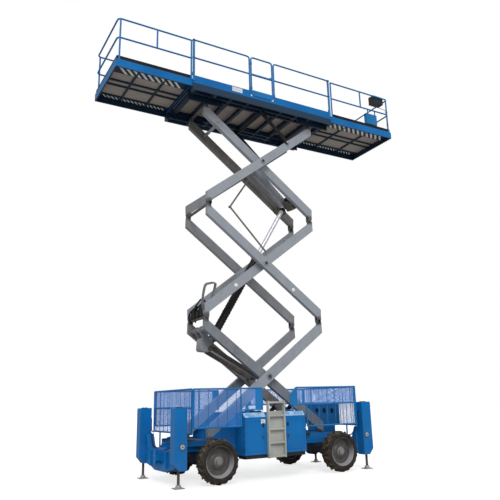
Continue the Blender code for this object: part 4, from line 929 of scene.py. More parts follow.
# %% Pin collars on the arms
PIN_CAP = [(0, 0), (0.044, 0), (0.044, 0.006), (0.028, 0.009), (0.028, 0.013), (0, 0.013)]
HUB_CAP = [(0, 0), (0.046, 0), (0.046, 0.004), (0.034, 0.008), (0.034, 0.014), (0, 0.014)]
BOSS = [(0, 0), (0.042, 0), (0.042, 0.006), (0.026, 0.012), (0, 0.014)]
PIN_ALONG = sqrt(SPAN ** 2 / 4 - OFFSET ** 2)
for name, (level, rising, y, _) in ARMS.items():
    lean = 1 if rising else -1
    trim = bmesh.new()
    for side in SIDES.values():
        face = side * (y + (ARM_HALF_WIDTH if y > OUTER_ARM else -ARM_HALF_WIDTH))
        out = Vector((0, side if y > OUTER_ARM else -side, 0))
        for end in (-1, 1):
            pin = arm_at(name, end * lean * PIN_ALONG, end * OFFSET, face)
            turned(trim, PIN_CAP, pin, out, 20)
            for shift in (0.033, -0.033):
                bolt(trim, pin + Vector((shift, 0, 0)) + out * 0.005, out, 0.006)
        if y > OUTER_ARM:
            hub = arm_at(name, 0, 0, face)
            turned(trim, HUB_CAP, hub, out, 24)
            for a, b in spots(4, 0.040, 0.5):
                bolt(trim, hub + Vector((a, 0, b)) + out * 0.003, out, 0.004)
    piece(f"{name}_collars", trim, pin_steel, name)
for name, along, across in (("arm_inner_middle", -0.875, 0.0), ("arm_outer_middle", 0.90, -0.02)):
    boss = bmesh.new()
    turned(boss, BOSS, arm_at(name, along, across, -ARMS[name][2] - ARM_HALF_WIDTH), (0, -1, 0), 24)
    piece(f"{name}_boss", boss, bright_cap, name)

# %% [markdown]
# ## The lift cylinder
#
# One long cylinder raises all three levels.  Its black barrel has a gland nut where the chromed rod
# comes out, a steel pipe that carries oil to its upper end, and a spiral guard over most of it.

# %% Cylinder details
foot_pin = Vector(joints["lift_cylinder_tilt"]["pos_m"])
way = Vector(joints["lift_cylinder_stroke"]["axis"]).normalized()
if way.z < 0:
    way = -way
across_way = Vector((-way.z, 0, way.x))
BARREL, BARREL_END, EYE_TO_EYE = 0.085, 2.50, 4.060
BANDS = (0.30, 0.9, 1.5, 2.1)
head_pin = foot_pin + way * EYE_TO_EYE
gland = bmesh.new()
turned(gland, [(0.052, BARREL_END - 0.01), (0.095, BARREL_END - 0.01), (0.095, BARREL_END + 0.01),
               (0.080, BARREL_END + 0.03), (0.0515, BARREL_END + 0.03)], foot_pin, way, 24)
for along in BANDS:
    low, high = about(along, 0.012)
    band = [(BARREL, low), (BARREL + 0.006, low), (BARREL + 0.006, high), (BARREL, high)]
    turned(gland, band, foot_pin, way, 24)
piece("cylinder_gland", gland, black_paint, "lift_cylinder_barrel")
pipe = bmesh.new()
pipe_way = (across_way * 0.5 + Vector((0, 0.87, 0))).normalized()
off_barrel = ((0.14, 0), (0.18, 0.010), (BARREL_END - 0.20, 0.010), (BARREL_END - 0.12, 0))
route = [foot_pin + way * along + pipe_way * (BARREL + off) for along, off in off_barrel]
tube(pipe, bend(route, 0.05), 0.010, 10)
barrel_turn = Matrix.Rotation(-atan2(way.z, way.x), 3, "Y")
for along in BANDS:
    clip = foot_pin + way * along + pipe_way * (BARREL + 0.010)
    turned_block(pipe, clip, (0.035, 0.024, 0.03), barrel_turn)
piece("cylinder_pipe", pipe, greasy_steel, "lift_cylinder_barrel")
guard = bmesh.new()
COILS, COIL_PITCH, COIL_STEPS = 22, 0.075, 14
spiral = []
for k in range(COILS * COIL_STEPS + 1):
    turn = 2 * pi * k / COIL_STEPS
    outward = across_way * cos(turn) + Vector((0, 1, 0)) * sin(turn)
    spiral.append(foot_pin + way * (0.35 + COIL_PITCH * k / COIL_STEPS) + (BARREL + 0.003) * outward)
tube(guard, spiral, 0.005, 6)
piece("cylinder_guard", guard, hose_rubber, "lift_cylinder_barrel")
collar = bmesh.new()
turned(collar, [(0.0505, -0.130), (0.066, -0.128), (0.070, -0.120), (0.070, -0.068), (0.0505, -0.060)],
       head_pin, way, 24)
piece("cylinder_head_collar", collar, black_paint, "lift_cylinder_rod")

# %% [markdown]
# ## Hoses and the valves at the joint
#
# Oil and control lines climb the stack.  Where two arms meet at the left, the hoses need slack to
# follow the fold, so they stand up in a small hoop beside the joint, over a row of black valves.

# %% Hose runs along the arms
HOSES, HOSE_GAP = 3, 0.026
HOSE_Y = -0.41 + ARM_HALF_WIDTH + 0.015
for name, low, high, across in (("arm_inner_low", -1.45, 1.20, 0.0), ("arm_inner_middle", -1.50, 1.45, -0.04),
                                ("arm_inner_high", -1.55, 1.45, 0.0)):
    run = bmesh.new()
    for k in range(HOSES):
        shift = across + k * HOSE_GAP
        tube(run, [arm_at(name, low, shift, HOSE_Y), arm_at(name, high, shift, HOSE_Y)], 0.011, 8)
    turn = Matrix.Rotation(-SLOPE if ARMS[name][1] else SLOPE, 3, "Y")
    clips = int((high - low) / 0.45) + 1
    for k in range(clips):
        along = low + (high - low) * (k + 0.5) / clips
        middle = arm_at(name, along, across + HOSE_GAP * (HOSES - 1) / 2, HOSE_Y)
        turned_block(run, middle, (0.03, 0.030, HOSE_GAP * HOSES + 0.012), turn)
    piece(f"{name}_hoses", run, hose_rubber, name)

# %% Hose hoops and valves at the left joint
# knots of a hoop, (x, z) from the joint; for each short hose its two y, its rise and its lean
HOOP = ((-0.06, 0.13), (-0.09, 0.30), (-0.03, 0.62), (0.08, 0.685), (0.19, 0.70), (0.215, 0.66), (0.15, 0.44),
        (0.09, 0.30), (0.12, 0.16))
ARCS = ((-0.33, 0.10, 0.42, 0.00), (-0.30, 0.22, 0.33, 0.05),
        (-0.22, 0.33, 0.27, -0.03), (-0.10, 0.34, 0.20, 0.04))
VALVES = ((-0.30, -0.16, 0.26), (-0.10, 0.04, 0.17), (0.12, 0.28, 0.22))
joint_x, joint_z = -PIN_X, BASE_PIN + LEVEL
hoops = bmesh.new()
for k in range(3):
    knots = [at(joint_x + a, -0.41 + 0.032 * (k - 1), joint_z + h * (1.03 + 0.02 * k)) for a, h in HOOP]
    tube(hoops, smooth_path(knots, 5), 0.014, 8)
piece("hose_hoops", hoops, old_hose, "arm_inner_middle")
cluster = bmesh.new()
for near_y, far_y, rise, lean in ARCS:
    knots = ((0.02, near_y, -0.02), (0.06, near_y, 0.6 * rise), (0.02, (near_y + far_y) / 2, rise),
             (-0.04, far_y, 0.5 * rise), (-0.02, far_y, -0.05))
    tube(cluster, smooth_path([at(joint_x + lean + a, y, joint_z + h) for a, y, h in knots], 6), 0.017, 8)
for y0, y1, top in VALVES:
    slab(cluster, (joint_x - 0.05, joint_x + 0.09), (y0, y1), (joint_z + 0.03, joint_z + top), 0.01)
    turned(cluster, [(0.03, 0), (0.03, 0.05), (0.018, 0.06), (0.018, 0.09), (0, 0.09)],
           at(joint_x + 0.02, (y0 + y1) / 2, joint_z + top), (0, 0, 1), 12)
piece("joint_valves", cluster, black_paint, "arm_inner_middle")

# %% The hose carrier between the middle and the highest level
CARRIER_Y = -0.285
carrier = bmesh.new()
elbow = at(-0.726, CARRIER_Y, 5.792)
upper_end, lower_end = at(0.0, CARRIER_Y, 6.86), at(0.22, CARRIER_Y, 4.80)
for start, end in ((upper_end, elbow), (elbow, lower_end)):
    tube(carrier, [start + (end - start) * k / 12 for k in range(13)], 0.021, 10)
turned(carrier, [(0, -0.03), (0.028, -0.03), (0.028, 0.03), (0, 0.03)], elbow, (0, 1, 0), 16)
carried = piece("hose_carrier", carrier, carrier_grey, "arm_outer_high")
carried.parent = None
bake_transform(carried)

# %% [markdown]
# ## What holds the cylinder
#
# Tapered plates reach from the arms' middle tubes to the cylinder's foot and head.  At the foot the
# barrel ends in a casting with rounded corners; at the head two black stops stand on the plates.

# %% Plates and stubs for the supports
def tapered_plate(shape, hub, shift, start_radius, pin, reach, end_radius, ys):
    """A flat bar with round ends of two sizes, from beside an arm's hub to beside a pin."""
    start, end = (centre + Vector((x, 0, z)) for centre, (x, z) in ((hub, shift), (pin, reach)))
    low_y, high_y = ys
    along = end - start
    turn = atan2(along.z, along.x)
    outline = []
    for centre, radius, first in ((start, start_radius, turn + pi / 2), (end, end_radius, turn - pi / 2)):
        for k in range(9):
            rim_point = centre + radius * Vector((cos(first + pi * k / 8), 0, sin(first + pi * k / 8)))
            outline.append((rim_point.x, rim_point.z))
    outline_plate(shape, outline, lambda a, b, c: Vector((a, low_y + (high_y - low_y) * c, b)))


def stub(shape, x, z, pin, ys, radius):
    """A short cross tube at a place given from a pin."""
    tube(shape, [pin + Vector((x, y, z)) for y in ys], radius, 16)


# %% Supports at the foot and at the head
foot_beam, foot_edges, casting = bmesh.new(), bmesh.new(), bmesh.new()
gussets, head_beam, stops = bmesh.new(), bmesh.new(), bmesh.new()
low_hub, high_hub = at(0, 0, BASE_PIN + LEVEL / 2), at(0, 0, BASE_PIN + 2.5 * LEVEL)
GUSSET = ((0.02, -0.15), (0.17, -0.09), (0.10, 0.08), (-0.14, 0.04))
for side in SIDES.values():
    inner, middle, outer, edge = ([side * y for y in ys] for ys in ((0.100, 0.120), (0.130, 0.150),
                                                                    (0.150, 0.165), (0.150, 0.172)))
    tapered_plate(foot_beam, low_hub, (0, 0), 0.055, foot_pin, (0.02, -0.05), 0.064, middle)
    tapered_plate(foot_beam, low_hub, (-0.30, 0.10), 0.02, foot_pin, (0.10, -0.04), 0.03, outer)
    tapered_plate(foot_edges, low_hub, (-0.05, -0.035), 0.014, foot_pin, (0.02, -0.112), 0.018, edge)
    tapered_plate(head_beam, high_hub, (0, 0), 0.115, head_pin, (-0.03, 0.08), 0.070, inner)
    stub(foot_beam, 0.12, 0.14, foot_pin, (side * 0.132, side * 0.34), 0.045)
    stub(gussets, -0.02, -0.02, head_pin, (side * 0.12, side * 0.36), 0.055)
    outline_plate(gussets, GUSSET, lambda a, b, c: head_pin + Vector((a, side * (0.135 + 0.20 * c), b)))
    stop_low, stop_high = Vector((-0.06, side * 0.121, 0.06)), Vector((0.08, side * 0.21, 0.20))
    block(stops, head_pin + stop_low, head_pin + stop_high, 0.01)
CASTING = ((-0.22, 0, -0.10), (0.05, 0, -0.12), (0.09, 0, 0.13), (0.02, 0, 0.20), (-0.19, 0, 0.19))
rounded = bend([foot_pin + Vector(corner) for corner in CASTING], 0.07, 4, closed=True)
outline_plate(casting, [(p.x, p.z) for p in rounded], lambda a, b, c: Vector((a, -0.125 + 0.25 * c, b)))
for dx, dz in ((-0.16, -0.05), (0.01, -0.06), (-0.14, 0.13), (0.03, 0.12)):
    bolt(casting, foot_pin + Vector((dx, -0.125, dz)), (0, -1, 0), 0.012)
piece("cylinder_foot_beam", foot_beam, brown_steel, "arm_inner_low")
piece("cylinder_foot_edges", foot_edges, arm_grey, "arm_inner_low")
piece("cylinder_foot_casting", casting, arm_grey, "lift_cylinder_barrel")
piece("cylinder_head_gussets", gussets, brown_steel, "arm_inner_high")
piece("cylinder_head_beam", head_beam, arm_grey, "arm_inner_high")
piece("cylinder_head_stops", stops, black_paint, "arm_inner_high")

# %% [markdown]
# ## Wheels
#
# The tyres have a round carcass with two rows of slanted blocks that meet in a chevron, and dried
# mud on the tread.  The rims are deep dishes with a bolted hub; their barrels are painted light at
# the bottom, where the lower lip catches the sky, and painted shade towards the top.  Turned profiles
# make both, and a loop lays the tread.

# %% Tyre and rim finishes
TYRE_R, BEAD_R, WHEEL_Y = 0.41, 0.290, 1.003
tyre_finish = Finish("tyre_rubber")
where = tyre_finish.place()
front_axle_x = sum(p.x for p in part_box("tyre_front_near")) / 2 - MIDDLE
from_axle = abs(where.part(0) - MIDDLE) - front_axle_x
height = where.part(2) - TYRE_R
radius = (from_axle * from_axle + height * height) ** 0.5
mud = tyre_finish.noise(11, 6, roughness=0.7).fade(0.40, 0.68) * (radius.fade(0.365, 0.388) * 0.85 + 0.15)
grain = tyre_finish.bump(tyre_finish.noise(80, 3), 0.0006)
tyre_rubber = tyre_finish.wear(base_color=tyre_finish.mix(mud, (0.013, 0.011, 0.009), (0.20, 0.145, 0.095)),
                               roughness=mud * 0.1 + 0.8, normal=grain)
rim_finish = Finish("rim_bright")
# painted light and shade on the rim barrel: pale at the bottom where the lip catches the sky, dark towards
# the top, with some darker patches at random
rim_shade_and_grime = rim_finish.place().part(2).fade(TYRE_R - 0.10, TYRE_R + 0.12) * 0.85
rim_shade_and_grime = rim_shade_and_grime + rim_finish.noise(9, 5).fade(0.4, 0.7) * 0.15
rim_bright = rim_finish.wear(base_color=rim_finish.mix(rim_shade_and_grime, (0.42, 0.41, 0.44), (0.060, 0.050, 0.042)),
                             roughness=rim_shade_and_grime * 0.2 + 0.34, metallic=0.25,
                             normal=rim_finish.bump(rim_finish.noise(160, 3), 0.0003))

# %% Tread
TREAD_BLOCKS, TREAD_HEIGHT = 20, 0.028
CARCASS_R = TYRE_R - TREAD_HEIGHT
# distance across the tread, how far a slanted block is turned there and its half width (radians),
# and the radius of its foot and of its top
BLOCK_ROWS = ((0.006, 0.0, 0.036, CARCASS_R - 0.012, TYRE_R - 0.0005),
              (0.085, 0.10, 0.042, CARCASS_R - 0.012, TYRE_R - 0.0015),
              (0.132, 0.135, 0.042, CARCASS_R - 0.032, TYRE_R - 0.0305),
              (0.140, 0.142, 0.042, CARCASS_R - 0.082, TYRE_R - 0.0625))


def tread_block(shape, wheel, turn, side):
    """One slanted block from the middle of the tread to its shoulder."""
    rows = []
    for y, slant, half, foot, top in BLOCK_ROWS:
        for radius, part in ((foot, half), (top, half * 0.86)):
            rows.append([shape.verts.new(wheel + Vector((radius * cos(t), side * y, radius * sin(t))))
                         for t in about(turn + slant, part)])
    for low_a, top_a, low_b, top_b in zip(rows[0::2], rows[1::2], rows[2::2], rows[3::2]):
        shape.faces.new((top_a[0], top_a[1], top_b[1], top_b[0]))
        shape.faces.new((low_a[0], top_a[0], top_b[0], low_b[0]))
        shape.faces.new((low_a[1], low_b[1], top_b[1], top_a[1]))
    shape.faces.new((rows[0][0], rows[0][1], rows[1][1], rows[1][0]))
    shape.faces.new((rows[-2][0], rows[-1][0], rows[-1][1], rows[-2][1]))


# %% Wheel profiles: radius, and distance out from the wheel's middle plane
HALF_TYRE = [(BEAD_R, 0.112), (BEAD_R + 0.004, 0.120), (BEAD_R + 0.012, 0.124), (BEAD_R + 0.020, 0.132),
             (BEAD_R + 0.034, 0.1385), (BEAD_R + 0.038, 0.141), (BEAD_R + 0.044, 0.1385),
             (0.350, 0.139), (0.372, 0.131), (CARCASS_R - 0.004, 0.112), (CARCASS_R, 0.06)]
TYRE = HALF_TYRE + [(CARCASS_R, 0.0)] + [(r, -y) for r, y in HALF_TYRE[::-1]]
TYRE = [(BEAD_R - 0.02, 0.10)] + TYRE + [(BEAD_R - 0.02, -0.10)]
BARREL_RIM = [(BEAD_R, 0.118), (BEAD_R - 0.004, 0.126), (BEAD_R - 0.012, 0.127), (BEAD_R - 0.018, 0.118),
              (BEAD_R - 0.024, 0.085), (BEAD_R - 0.036, 0.060), (BEAD_R - 0.048, 0.030)]
DISH = [(BEAD_R - 0.048, 0.030), (BEAD_R - 0.056, 0.006), (0.165, 0.000), (0.150, 0.006), (0.128, 0.030),
        (0.105, 0.036), (0, 0.036)]
INNER_RIM = [(0.150, -0.012), (0.205, -0.012), (BEAD_R - 0.024, 0.0), (BEAD_R - 0.024, -0.10),
             (BEAD_R, -0.118)]
HUB = [(0.090, 0.034), (0.088, 0.050), (0.080, 0.056), (0.066, 0.060), (0.062, 0.088), (0.054, 0.096),
       (0.030, 0.098), (0, 0.0995)]
HOLE = [(0.016, -0.002), (0.016, 0.003), (0.013, 0.004), (0.012, 0.0), (0, 0.0)]

# %% Tyres, rims and hubs
for c in corners:
    side = SIDES[c.split("_")[1]]
    low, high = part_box(f"tyre_{c}")
    wheel, out = Vector(((low.x + high.x) / 2, side * WHEEL_Y, TYRE_R)), (0, side, 0)
    tyre, barrel, rim, cap = bmesh.new(), bmesh.new(), bmesh.new(), bmesh.new()
    turned(tyre, TYRE, wheel, (0, 1, 0), 56)
    for k in range(TREAD_BLOCKS):
        for row in (-1, 1):
            tread_block(tyre, wheel, 2 * pi * (k + 0.25 * row) / TREAD_BLOCKS, row)
    turned(barrel, BARREL_RIM, wheel, out, 48)
    turned(rim, DISH, wheel, out, 48)
    turned(rim, INNER_RIM, wheel, out, 48)
    for a, b in spots(9, 0.105):
        bolt(rim, wheel + Vector((a, side * 0.034, b)), out, 0.010)
    for a, b in spots(8, 0.178, 0.5):
        turned(rim, HOLE, wheel + Vector((a, side * 0.0015, b)), out, 12)
    turned(rim, [(0.006, 0), (0.006, 0.03), (0, 0.03)], wheel + Vector((0.20, side * 0.002, 0.0)), out, 8)
    turned(cap, HUB, wheel, out, 32)
    body = f"wheel_{c}"
    piece(f"tyre_{c}_dressed", tyre, tyre_rubber, body, (f"tyre_{c}",), 28)
    piece(f"rim_barrel_{c}", barrel, rim_bright, body)
    piece(f"rim_{c}_dressed", rim, wheel_grey, body, (f"rim_{c}",), 30)
    piece(f"hub_cap_{c}", cap, hub_grey, body)

# %% [markdown]
# ## Expanded metal in the guards
#
# The guards round the folded scissor are filled with expanded metal: sheet that is slit and pulled
# into small diamonds.  From a step away it reads as a blue veil.  Flat strands laid both ways and
# clipped to each frame make it.  Sheets that stand one behind the other get different diamonds, so
# that the veil they make together is fairly even.

# %% Expanded metal
STRAND_PART, STRAND_THICK = 0.29, 0.0006     # the part of a diamond's height that is metal
DIAMONDS = {"near": (0.0085, 0.55), "far": (0.0058, 0.75), "end": (0.0100, 0.42)}


def clipped(start, slant, low, high):
    """The part of a slanted line inside a rectangle, or nothing."""
    near_t, far_t = -1e9, 1e9
    for axis in (0, 1):
        a, b = ((edge[axis] - start[axis]) / slant[axis] for edge in (low, high))
        near_t, far_t = max(near_t, min(a, b)), min(far_t, max(a, b))
    if far_t - near_t < 0.01:
        return None
    return [(start[0] + t * slant[0], start[1] + t * slant[1]) for t in (near_t, far_t)]


def expanded_sheet(shape, low, high, kind, place):
    """Diamonds inside a rectangle; place turns (a, z, depth) into a point."""
    pitch, slope = DIAMONDS[kind]
    half = pitch * STRAND_PART / 2
    count = int(((high[0] - low[0]) * slope + high[1] - low[1]) / pitch) + 1
    for lean in (-1, 1):
        depth = STRAND_THICK * (0.5 + 0.5 * lean)
        for k in range(count):
            z = low[1] + k * pitch if lean < 0 else high[1] - k * pitch
            line = clipped((low[0], z), (1.0, lean * slope), low, high)
            if line is None:
                continue
            (a, b), (c, d) = line
            outline = [(a, b - half), (c, d - half), (c, d + half), (a, b + half)]
            outline_plate(shape, outline, lambda p, q, m: place(p, q, depth + m * STRAND_THICK))


# %% Sheets of the four side guards, with a flat bar round each
guard_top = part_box("guard_near_front")[1].z - 0.0175
GUARD_END, GUARD_SIDE, BAR_HALF = 1.93, 1.00, 0.012
REAR_SHEETS = (((-GUARD_END, 1.02), (-0.91, guard_top)), ((-0.91, 1.32), (-0.57, guard_top)))
FRONT_SHEETS = (((0.42, 1.39), (GUARD_END, guard_top)),)
for label, side in SIDES.items():
    bar_y = side * (GUARD_SIDE - 0.010), side * (GUARD_SIDE - 0.002)
    for end, sheets in (("rear", REAR_SHEETS), ("front", FRONT_SHEETS)):
        mesh = bmesh.new()
        for low, high in sheets:
            expanded_sheet(mesh, low, high, label, lambda a, z, d: at(a, side * (GUARD_SIDE - 0.008 + d), z))
            for x in (low[0], high[0]):
                slab(mesh, about(x, BAR_HALF), bar_y, (low[1], high[1]), 0.001)
            for z in (low[1], high[1]):
                slab(mesh, (low[0], high[0]), bar_y, about(z, BAR_HALF), 0.001)
        piece(f"guard_mesh_{label}_{end}", mesh, mesh_blue, "chassis")

# %% Sheets of the end guards, and the dark plate behind the front guard's three holes
UPPER_SHEET = ((-1.0, 1.39), (1.0, guard_top))
for end, x, lower_sheet in (("rear", -1.965, ((-1.0, 0.92), (1.0, 1.39))),
                            ("front", 1.965, ((-1.0, 0.92), (-0.39, 1.39)))):
    mesh = bmesh.new()
    for low, high in (lower_sheet, UPPER_SHEET):
        expanded_sheet(mesh, low, high, "end", lambda a, z, d: at(x - 0.002 + d, a, z))
    piece(f"guard_mesh_{end}_end", mesh, mesh_blue, "chassis")
backing = bmesh.new()
slab(backing, (1.976, 1.986), (-0.24, 0.58), (1.10, 1.33), 0.003)
HOLE_RING = [(0.055, 0), (0.061, 0.0), (0.061, 0.004), (0.055, 0.006)]
for y in (-0.13, 0.17, 0.47):
    turned(backing, HOLE_RING, at(1.957, y, 1.215), (-1, 0, 0), 20)
piece("guard_backing", backing, black_paint, "chassis")

# %% [markdown]
# ## Covers, latches and the ladder
#
# The side covers are pressed from sheet with a sloping top edge; the sun's shine on it is a painted
# highlight on a pale blue strip.  Each door has two latches, a piano hinge and a pressed line round
# it; a rubber skirt hangs below.  The ladder's treads are punched for grip.

# %% Cover edges, skirts and doors
(COVER_REAR, COVER_FRONT), COVER_TOP, COVER_Y = (-0.89, 0.55), 1.26, 1.085
LADDER_X, LADDER_GAP = (-0.38, 0.02), 0.02
DOORS = {"rear": (COVER_REAR, LADDER_X[0] - LADDER_GAP), "front": (LADDER_X[1] + LADDER_GAP, COVER_FRONT)}
SKIRT_Z = (0.405, 0.475)
# the sloping strip: y and z from the cover's side and top
SLOPE_EDGE = ((-0.018, -0.092), (-0.083, -0.004), (-0.080, 0.0006), (-0.014, -0.088))
# painted highlight: the pale blue strip on each cover's sloping top edge stands for the sun's shine on it
highlight_finish = Finish("worn_light_edge")
wear_and_highlight_patches = highlight_finish.noise(9, 4).fade(0.4, 0.6)
highlight_blue = highlight_finish.mix(wear_and_highlight_patches, (0.16, 0.36, 0.62), (0.45, 0.62, 0.80))
edge_highlight = highlight_finish.wear(base_color=highlight_blue, roughness=0.3)
for label, side in SIDES.items():
    edge_trim, skirt = bmesh.new(), bmesh.new()
    for x0, x1 in ((COVER_REAR + 0.01, DOORS["rear"][1]), (DOORS["front"][0], COVER_FRONT - 0.01)):
        outline_plate(edge_trim, SLOPE_EDGE,
                      lambda a, b, c: at(x0 + (x1 - x0) * c, side * (COVER_Y + a), COVER_TOP + b))
    piece(f"cover_edge_{label}", edge_trim, edge_highlight, "chassis")
    skirt_rear, skirt_front = COVER_REAR + 0.02, COVER_FRONT - 0.02
    for xs, inner in (((skirt_rear, skirt_front), 0.045), ((skirt_rear, skirt_rear + 0.015), 0.30),
                      ((skirt_front - 0.015, skirt_front), 0.30)):
        slab(skirt, xs, (side * (COVER_Y - inner), side * (COVER_Y - 0.030)), SKIRT_Z, 0.003)
    piece(f"cover_skirt_{label}", skirt, hose_rubber, "chassis")
    for end, (x0, x1) in DOORS.items():
        hinge_x, latch_x = (x0, x1 - 0.07) if end == "rear" else (x1, x0 + 0.07)
        fittings, swage = bmesh.new(), bmesh.new()
        for z in (0.81, 1.02):
            slab(fittings, about(latch_x, 0.022), (side * (COVER_Y - 0.001), side * (COVER_Y + 0.006)),
                 about(z, 0.038), 0.003)
            slab(fittings, about(latch_x, 0.012), (side * (COVER_Y + 0.004), side * (COVER_Y + 0.020)),
                 (z - 0.028, z + 0.010), 0.004)
        for k in range(5):
            post(fittings, hinge_x, side * (COVER_Y + 0.002), 0.53 + 0.14 * k, 0.63 + 0.14 * k, 0.006, 8)
        piece(f"door_fittings_{end}_{label}", fittings, plastic, f"door_{end}_{label}")
        line = [at(x, side * COVER_Y, z) for x, z in ((x0 + 0.05, 0.54), (x1 - 0.05, 0.54),
                                                      (x1 - 0.05, 1.10), (x0 + 0.05, 1.10))]
        tube(swage, bend(line, 0.05, closed=True), 0.005, 8, closed=True)
        piece(f"door_swage_{end}_{label}", swage, blue, f"door_{end}_{label}")

# %% Bare plate and ladder treads
small_plate = bmesh.new()
slab(small_plate, (-0.52, -0.42), (-COVER_Y - 0.003, -COVER_Y - 0.0004), (1.05, 1.13), 0.001)
piece("bare_plate_on_door", small_plate, plate_white, "door_rear_near")
TREAD_LOW, TREAD_STEP = 0.445, 0.255
treads = bmesh.new()
for i in range(5):
    for k in range(6):
        punched = at(LADDER_X[0] + 0.055 + k * 0.058, -1.115, TREAD_LOW + i * TREAD_STEP)
        turned(treads, [(0.014, 0.0), (0.014, 0.003), (0.009, 0.004), (0.009, 0.0)], punched, (0, 0, 1), 12)
for x, inward in zip(LADDER_X, (0.015, -0.015)):
    for z in (0.55, 0.95, 1.35):
        bolt(treads, at(x + inward, -1.138, z), (0, -1, 0), 0.008)
piece("ladder_trim", treads, cream, "chassis")

# %% [markdown]
# ## Lamps, outrigger legs and the ends of the chassis
#
# Each housing carries a round lamp on its outer face and a hose at its back, and its leg slides in
# it: a square tube, a slim rod and a pad.  Each end of the chassis holds a coupling, two lashing
# plates and hoses that run to the outriggers.

# %% Housings, lamps and legs
HOUSING_X, HOUSING_FACE, HOUSING_TOP, LEG_Y = 2.205, 1.06, 1.40, 0.955
LEG_HALF, LEG_Z = 0.065, (0.45, 0.94)
PAD_HALF, PAD_THICK = 0.095, 0.012
LEG_ROD = [(0, 0.014), (0.030, 0.014), (0.030, 0.058), (0.026, 0.072), (0.026, 0.300), (0.040, 0.306),
           (0.040, 0.452)]
PAD_CONE = [(PAD_HALF - 0.012, PAD_THICK), (0.050, 0.034), (0.044, 0.060), (0.030, 0.066)]
LAMP_RING = [(0.054, 0.0), (0.054, 0.010), (0.048, 0.016), (0.044, 0.010), (0.044, 0.004)]
LAMP_BOSS = [(0, 0.004), (0.016, 0.004), (0.016, 0.0165), (0.012, 0.0175), (0, 0.0175)]
LAMP_GLASS = [(0, 0.012), (0.018, 0.0135), (0.036, 0.0125), (0.046, 0.008), (0.046, 0.003), (0, 0.003)]
BACK_HOSE = ((0.125, 0.95, 1.20), (0.16, 0.95, 1.18), (0.165, 0.94, 0.95), (0.20, 0.90, 0.90))
for c in corners:
    end, label = c.split("_")
    side, end_way = SIDES[label], -1 if end == "rear" else 1
    x, y, out = end_way * HOUSING_X, side * LEG_Y, (0, side, 0)
    lamp_at = at(x - end_way * 0.03, side * HOUSING_FACE, 0.71)
    bezel, glass, top, leg, foot = (bmesh.new() for _ in range(5))
    turned(bezel, LAMP_RING, lamp_at, out, 28)
    turned(bezel, LAMP_BOSS, lamp_at, out, 20)
    piece(f"lamp_ring_{c}", bezel, wheel_grey, "chassis")
    turned(glass, LAMP_GLASS, lamp_at, out, 28)
    piece(f"lamp_glass_{c}", glass, lens, "chassis")
    slab(top, about(x, 0.05), about(y, 0.05), (HOUSING_TOP, HOUSING_TOP + 0.008), 0.003)
    for a, b in spots(4, 0.035 * sqrt(2), 0.5):
        bolt(top, at(x + a, y + b, HOUSING_TOP + 0.008), (0, 0, 1), 0.007)
    hose = [at(x - end_way * back, side * off, z) for back, off, z in BACK_HOSE]
    tube(top, smooth_path(hose, 6), 0.010, 8)
    piece(f"housing_cap_{c}", top, black_paint, "chassis")
    slab(leg, about(x, LEG_HALF), about(y, LEG_HALF), LEG_Z)
    turned(leg, LEG_ROD, at(x, y, 0), (0, 0, 1), 24)
    piece(f"leg_{c}_dressed", leg, greasy_steel, f"leg_{c}", (f"leg_{c}",))
    slab(foot, about(x, PAD_HALF), about(y, PAD_HALF), (0, PAD_THICK), 0.003)
    turned(foot, PAD_CONE, at(x, y, 0), (0, 0, 1), 24)
    for a, b in spots(4, 1.2 * PAD_HALF, 0.5):
        bolt(foot, at(x + a, y + b, PAD_THICK + 0.0005), (0, 0, 1), 0.006)
    piece(f"foot_pad_{c}", foot, galvanised, f"leg_{c}")

# %% The ends of the chassis
BEAM_FACE = 2.2003
TOW_PIN = [(0.018, -0.14), (0.018, 0.14), (0.028, 0.14), (0.028, 0.16), (0, 0.16)]


def beam_x(end_way, *distances):
    """X at distances out from the face of an end beam."""
    return [end_way * (BEAM_FACE + d) for d in distances]


for end, end_way in (("rear", -1), ("front", 1)):
    tow, lash, lines = bmesh.new(), bmesh.new(), bmesh.new()
    slab(tow, beam_x(end_way, 0, 0.02), about(0, 0.17), (0.40, 0.57))
    slab(tow, beam_x(end_way, 0.10, 0.118), about(0, 0.055), (0.345, 0.595))
    turned(tow, TOW_PIN, at(*beam_x(end_way, 0.07), 0, 0.47), (0, 0, 1), 16)
    for y in (-0.145, 0.145):
        for z in (0.43, 0.54):
            bolt(tow, at(*beam_x(end_way, 0.02), y, z), (end_way, 0, 0), 0.012)
    piece(f"coupling_{end}", tow, dusty_blue, "chassis")
    for y in (-0.42, 0.42):
        slab(lash, beam_x(end_way, 0, 0.06), about(y, 0.012), (0.30, 0.60))
        slab(lash, beam_x(end_way, -0.01, 0.006), about(y, 0.045), (0.31, 0.59), 0.003)
    piece(f"lashing_{end}", lash, blue, "chassis")
    for k, y in enumerate((0.20, 0.24, -0.20)):
        side = 1 if y > 0 else -1
        ways_in = beam_x(end_way, -0.02, -0.05, -0.08, -0.10)
        across = (y, side * 0.40, side * 0.62, side * 0.80)
        heights = (0.625, 0.640 + 0.01 * k, 0.66 + 0.03 * k, 0.895)
        tube(lines, smooth_path([at(*place) for place in zip(ways_in, across, heights)], 6), 0.012, 8)
    piece(f"beam_hoses_{end}", lines, hose_rubber, "chassis")

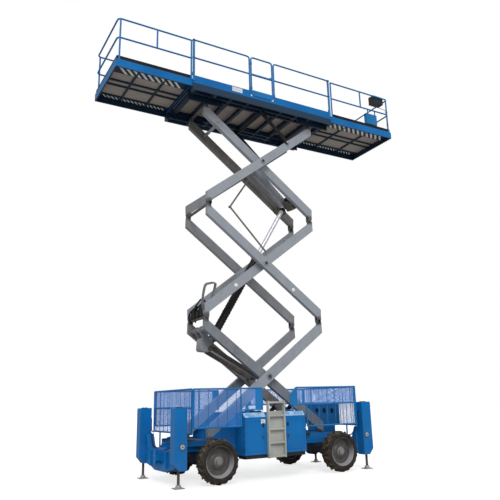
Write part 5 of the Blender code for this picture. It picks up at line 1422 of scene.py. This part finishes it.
# %% Wear strips on the roller tracks
strips = bmesh.new()
TRACK_TOP = BASE_PIN - 0.036
for side in SIDES.values():
    for xs, ys in (((-1.90, -1.03), (0.605, 0.683)), ((1.03, 1.90), (0.49, 0.533))):
        slab(strips, xs, [side * y for y in ys], (TRACK_TOP - 0.0005, TRACK_TOP + 0.002), 0.001)
piece("track_strips", strips, galvanised, "chassis")

# %% [markdown]
# ## Light, floor and the closing line
#
# The photograph is a cut-out in even daylight: a pale surround, a broad soft sun from the front
# left, and no hard shadows.  The world is white only to the camera and to reflections; the light it
# gives is dimmer, so that a colour comes out about as it is written.

# %% World and sun
SKY, SUN, GLOSS = 0.72, 1.35, 0.40
world = bpy.data.worlds.new("studio")
bpy.context.scene.world = world
world.use_nodes = True
tree = world.node_tree
background = tree.nodes["Background"]
paths = tree.nodes.new("ShaderNodeLightPath")
value = SKY
for output, brightness in (("Is Glossy Ray", GLOSS), ("Is Camera Ray", 1.0)):
    choice = tree.nodes.new("ShaderNodeMix")
    tree.links.new(paths.outputs[output], choice.inputs["Factor"])
    choice.inputs["B"].default_value = brightness
    if isinstance(value, float):
        choice.inputs["A"].default_value = value
    else:
        tree.links.new(value, choice.inputs["A"])
    value = choice.outputs["Result"]
tree.links.new(value, background.inputs["Strength"])
background.inputs["Color"].default_value = (1, 1, 1, 1)

sun_data = bpy.data.lights.new("sun", "SUN")
sun_data.energy = SUN
sun_data.angle = radians(25)
sun = bpy.data.objects.new("sun", sun_data)
bpy.context.scene.collection.objects.link(sun)
sun.rotation_euler = (radians(48), radians(-6), radians(-18))

# %% Floor
ground = bmesh.new()
bmesh.ops.create_grid(ground, x_segments=1, y_segments=1, size=60)
floor_mesh = bpy.data.meshes.new("floor")
ground.to_mesh(floor_mesh)
ground.free()
floor = bpy.data.objects.new("floor", floor_mesh)
floor.location.z = min(0.0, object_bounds()[0][2]) - 0.001
bpy.context.scene.collection.objects.link(floor)
pale = Finish("pale_floor")
camera_ray = pale.node("ShaderNodeLightPath", {}, {}, "Is Camera Ray")
floor_mesh.materials.append(pale.wear(base_color=(0.42, 0.42, 0.42), roughness=0.9, emission_color=(1, 1, 1),
                                      emission_strength=camera_ray * 0.72))
bpy.context.scene.view_settings.view_transform = "Standard"
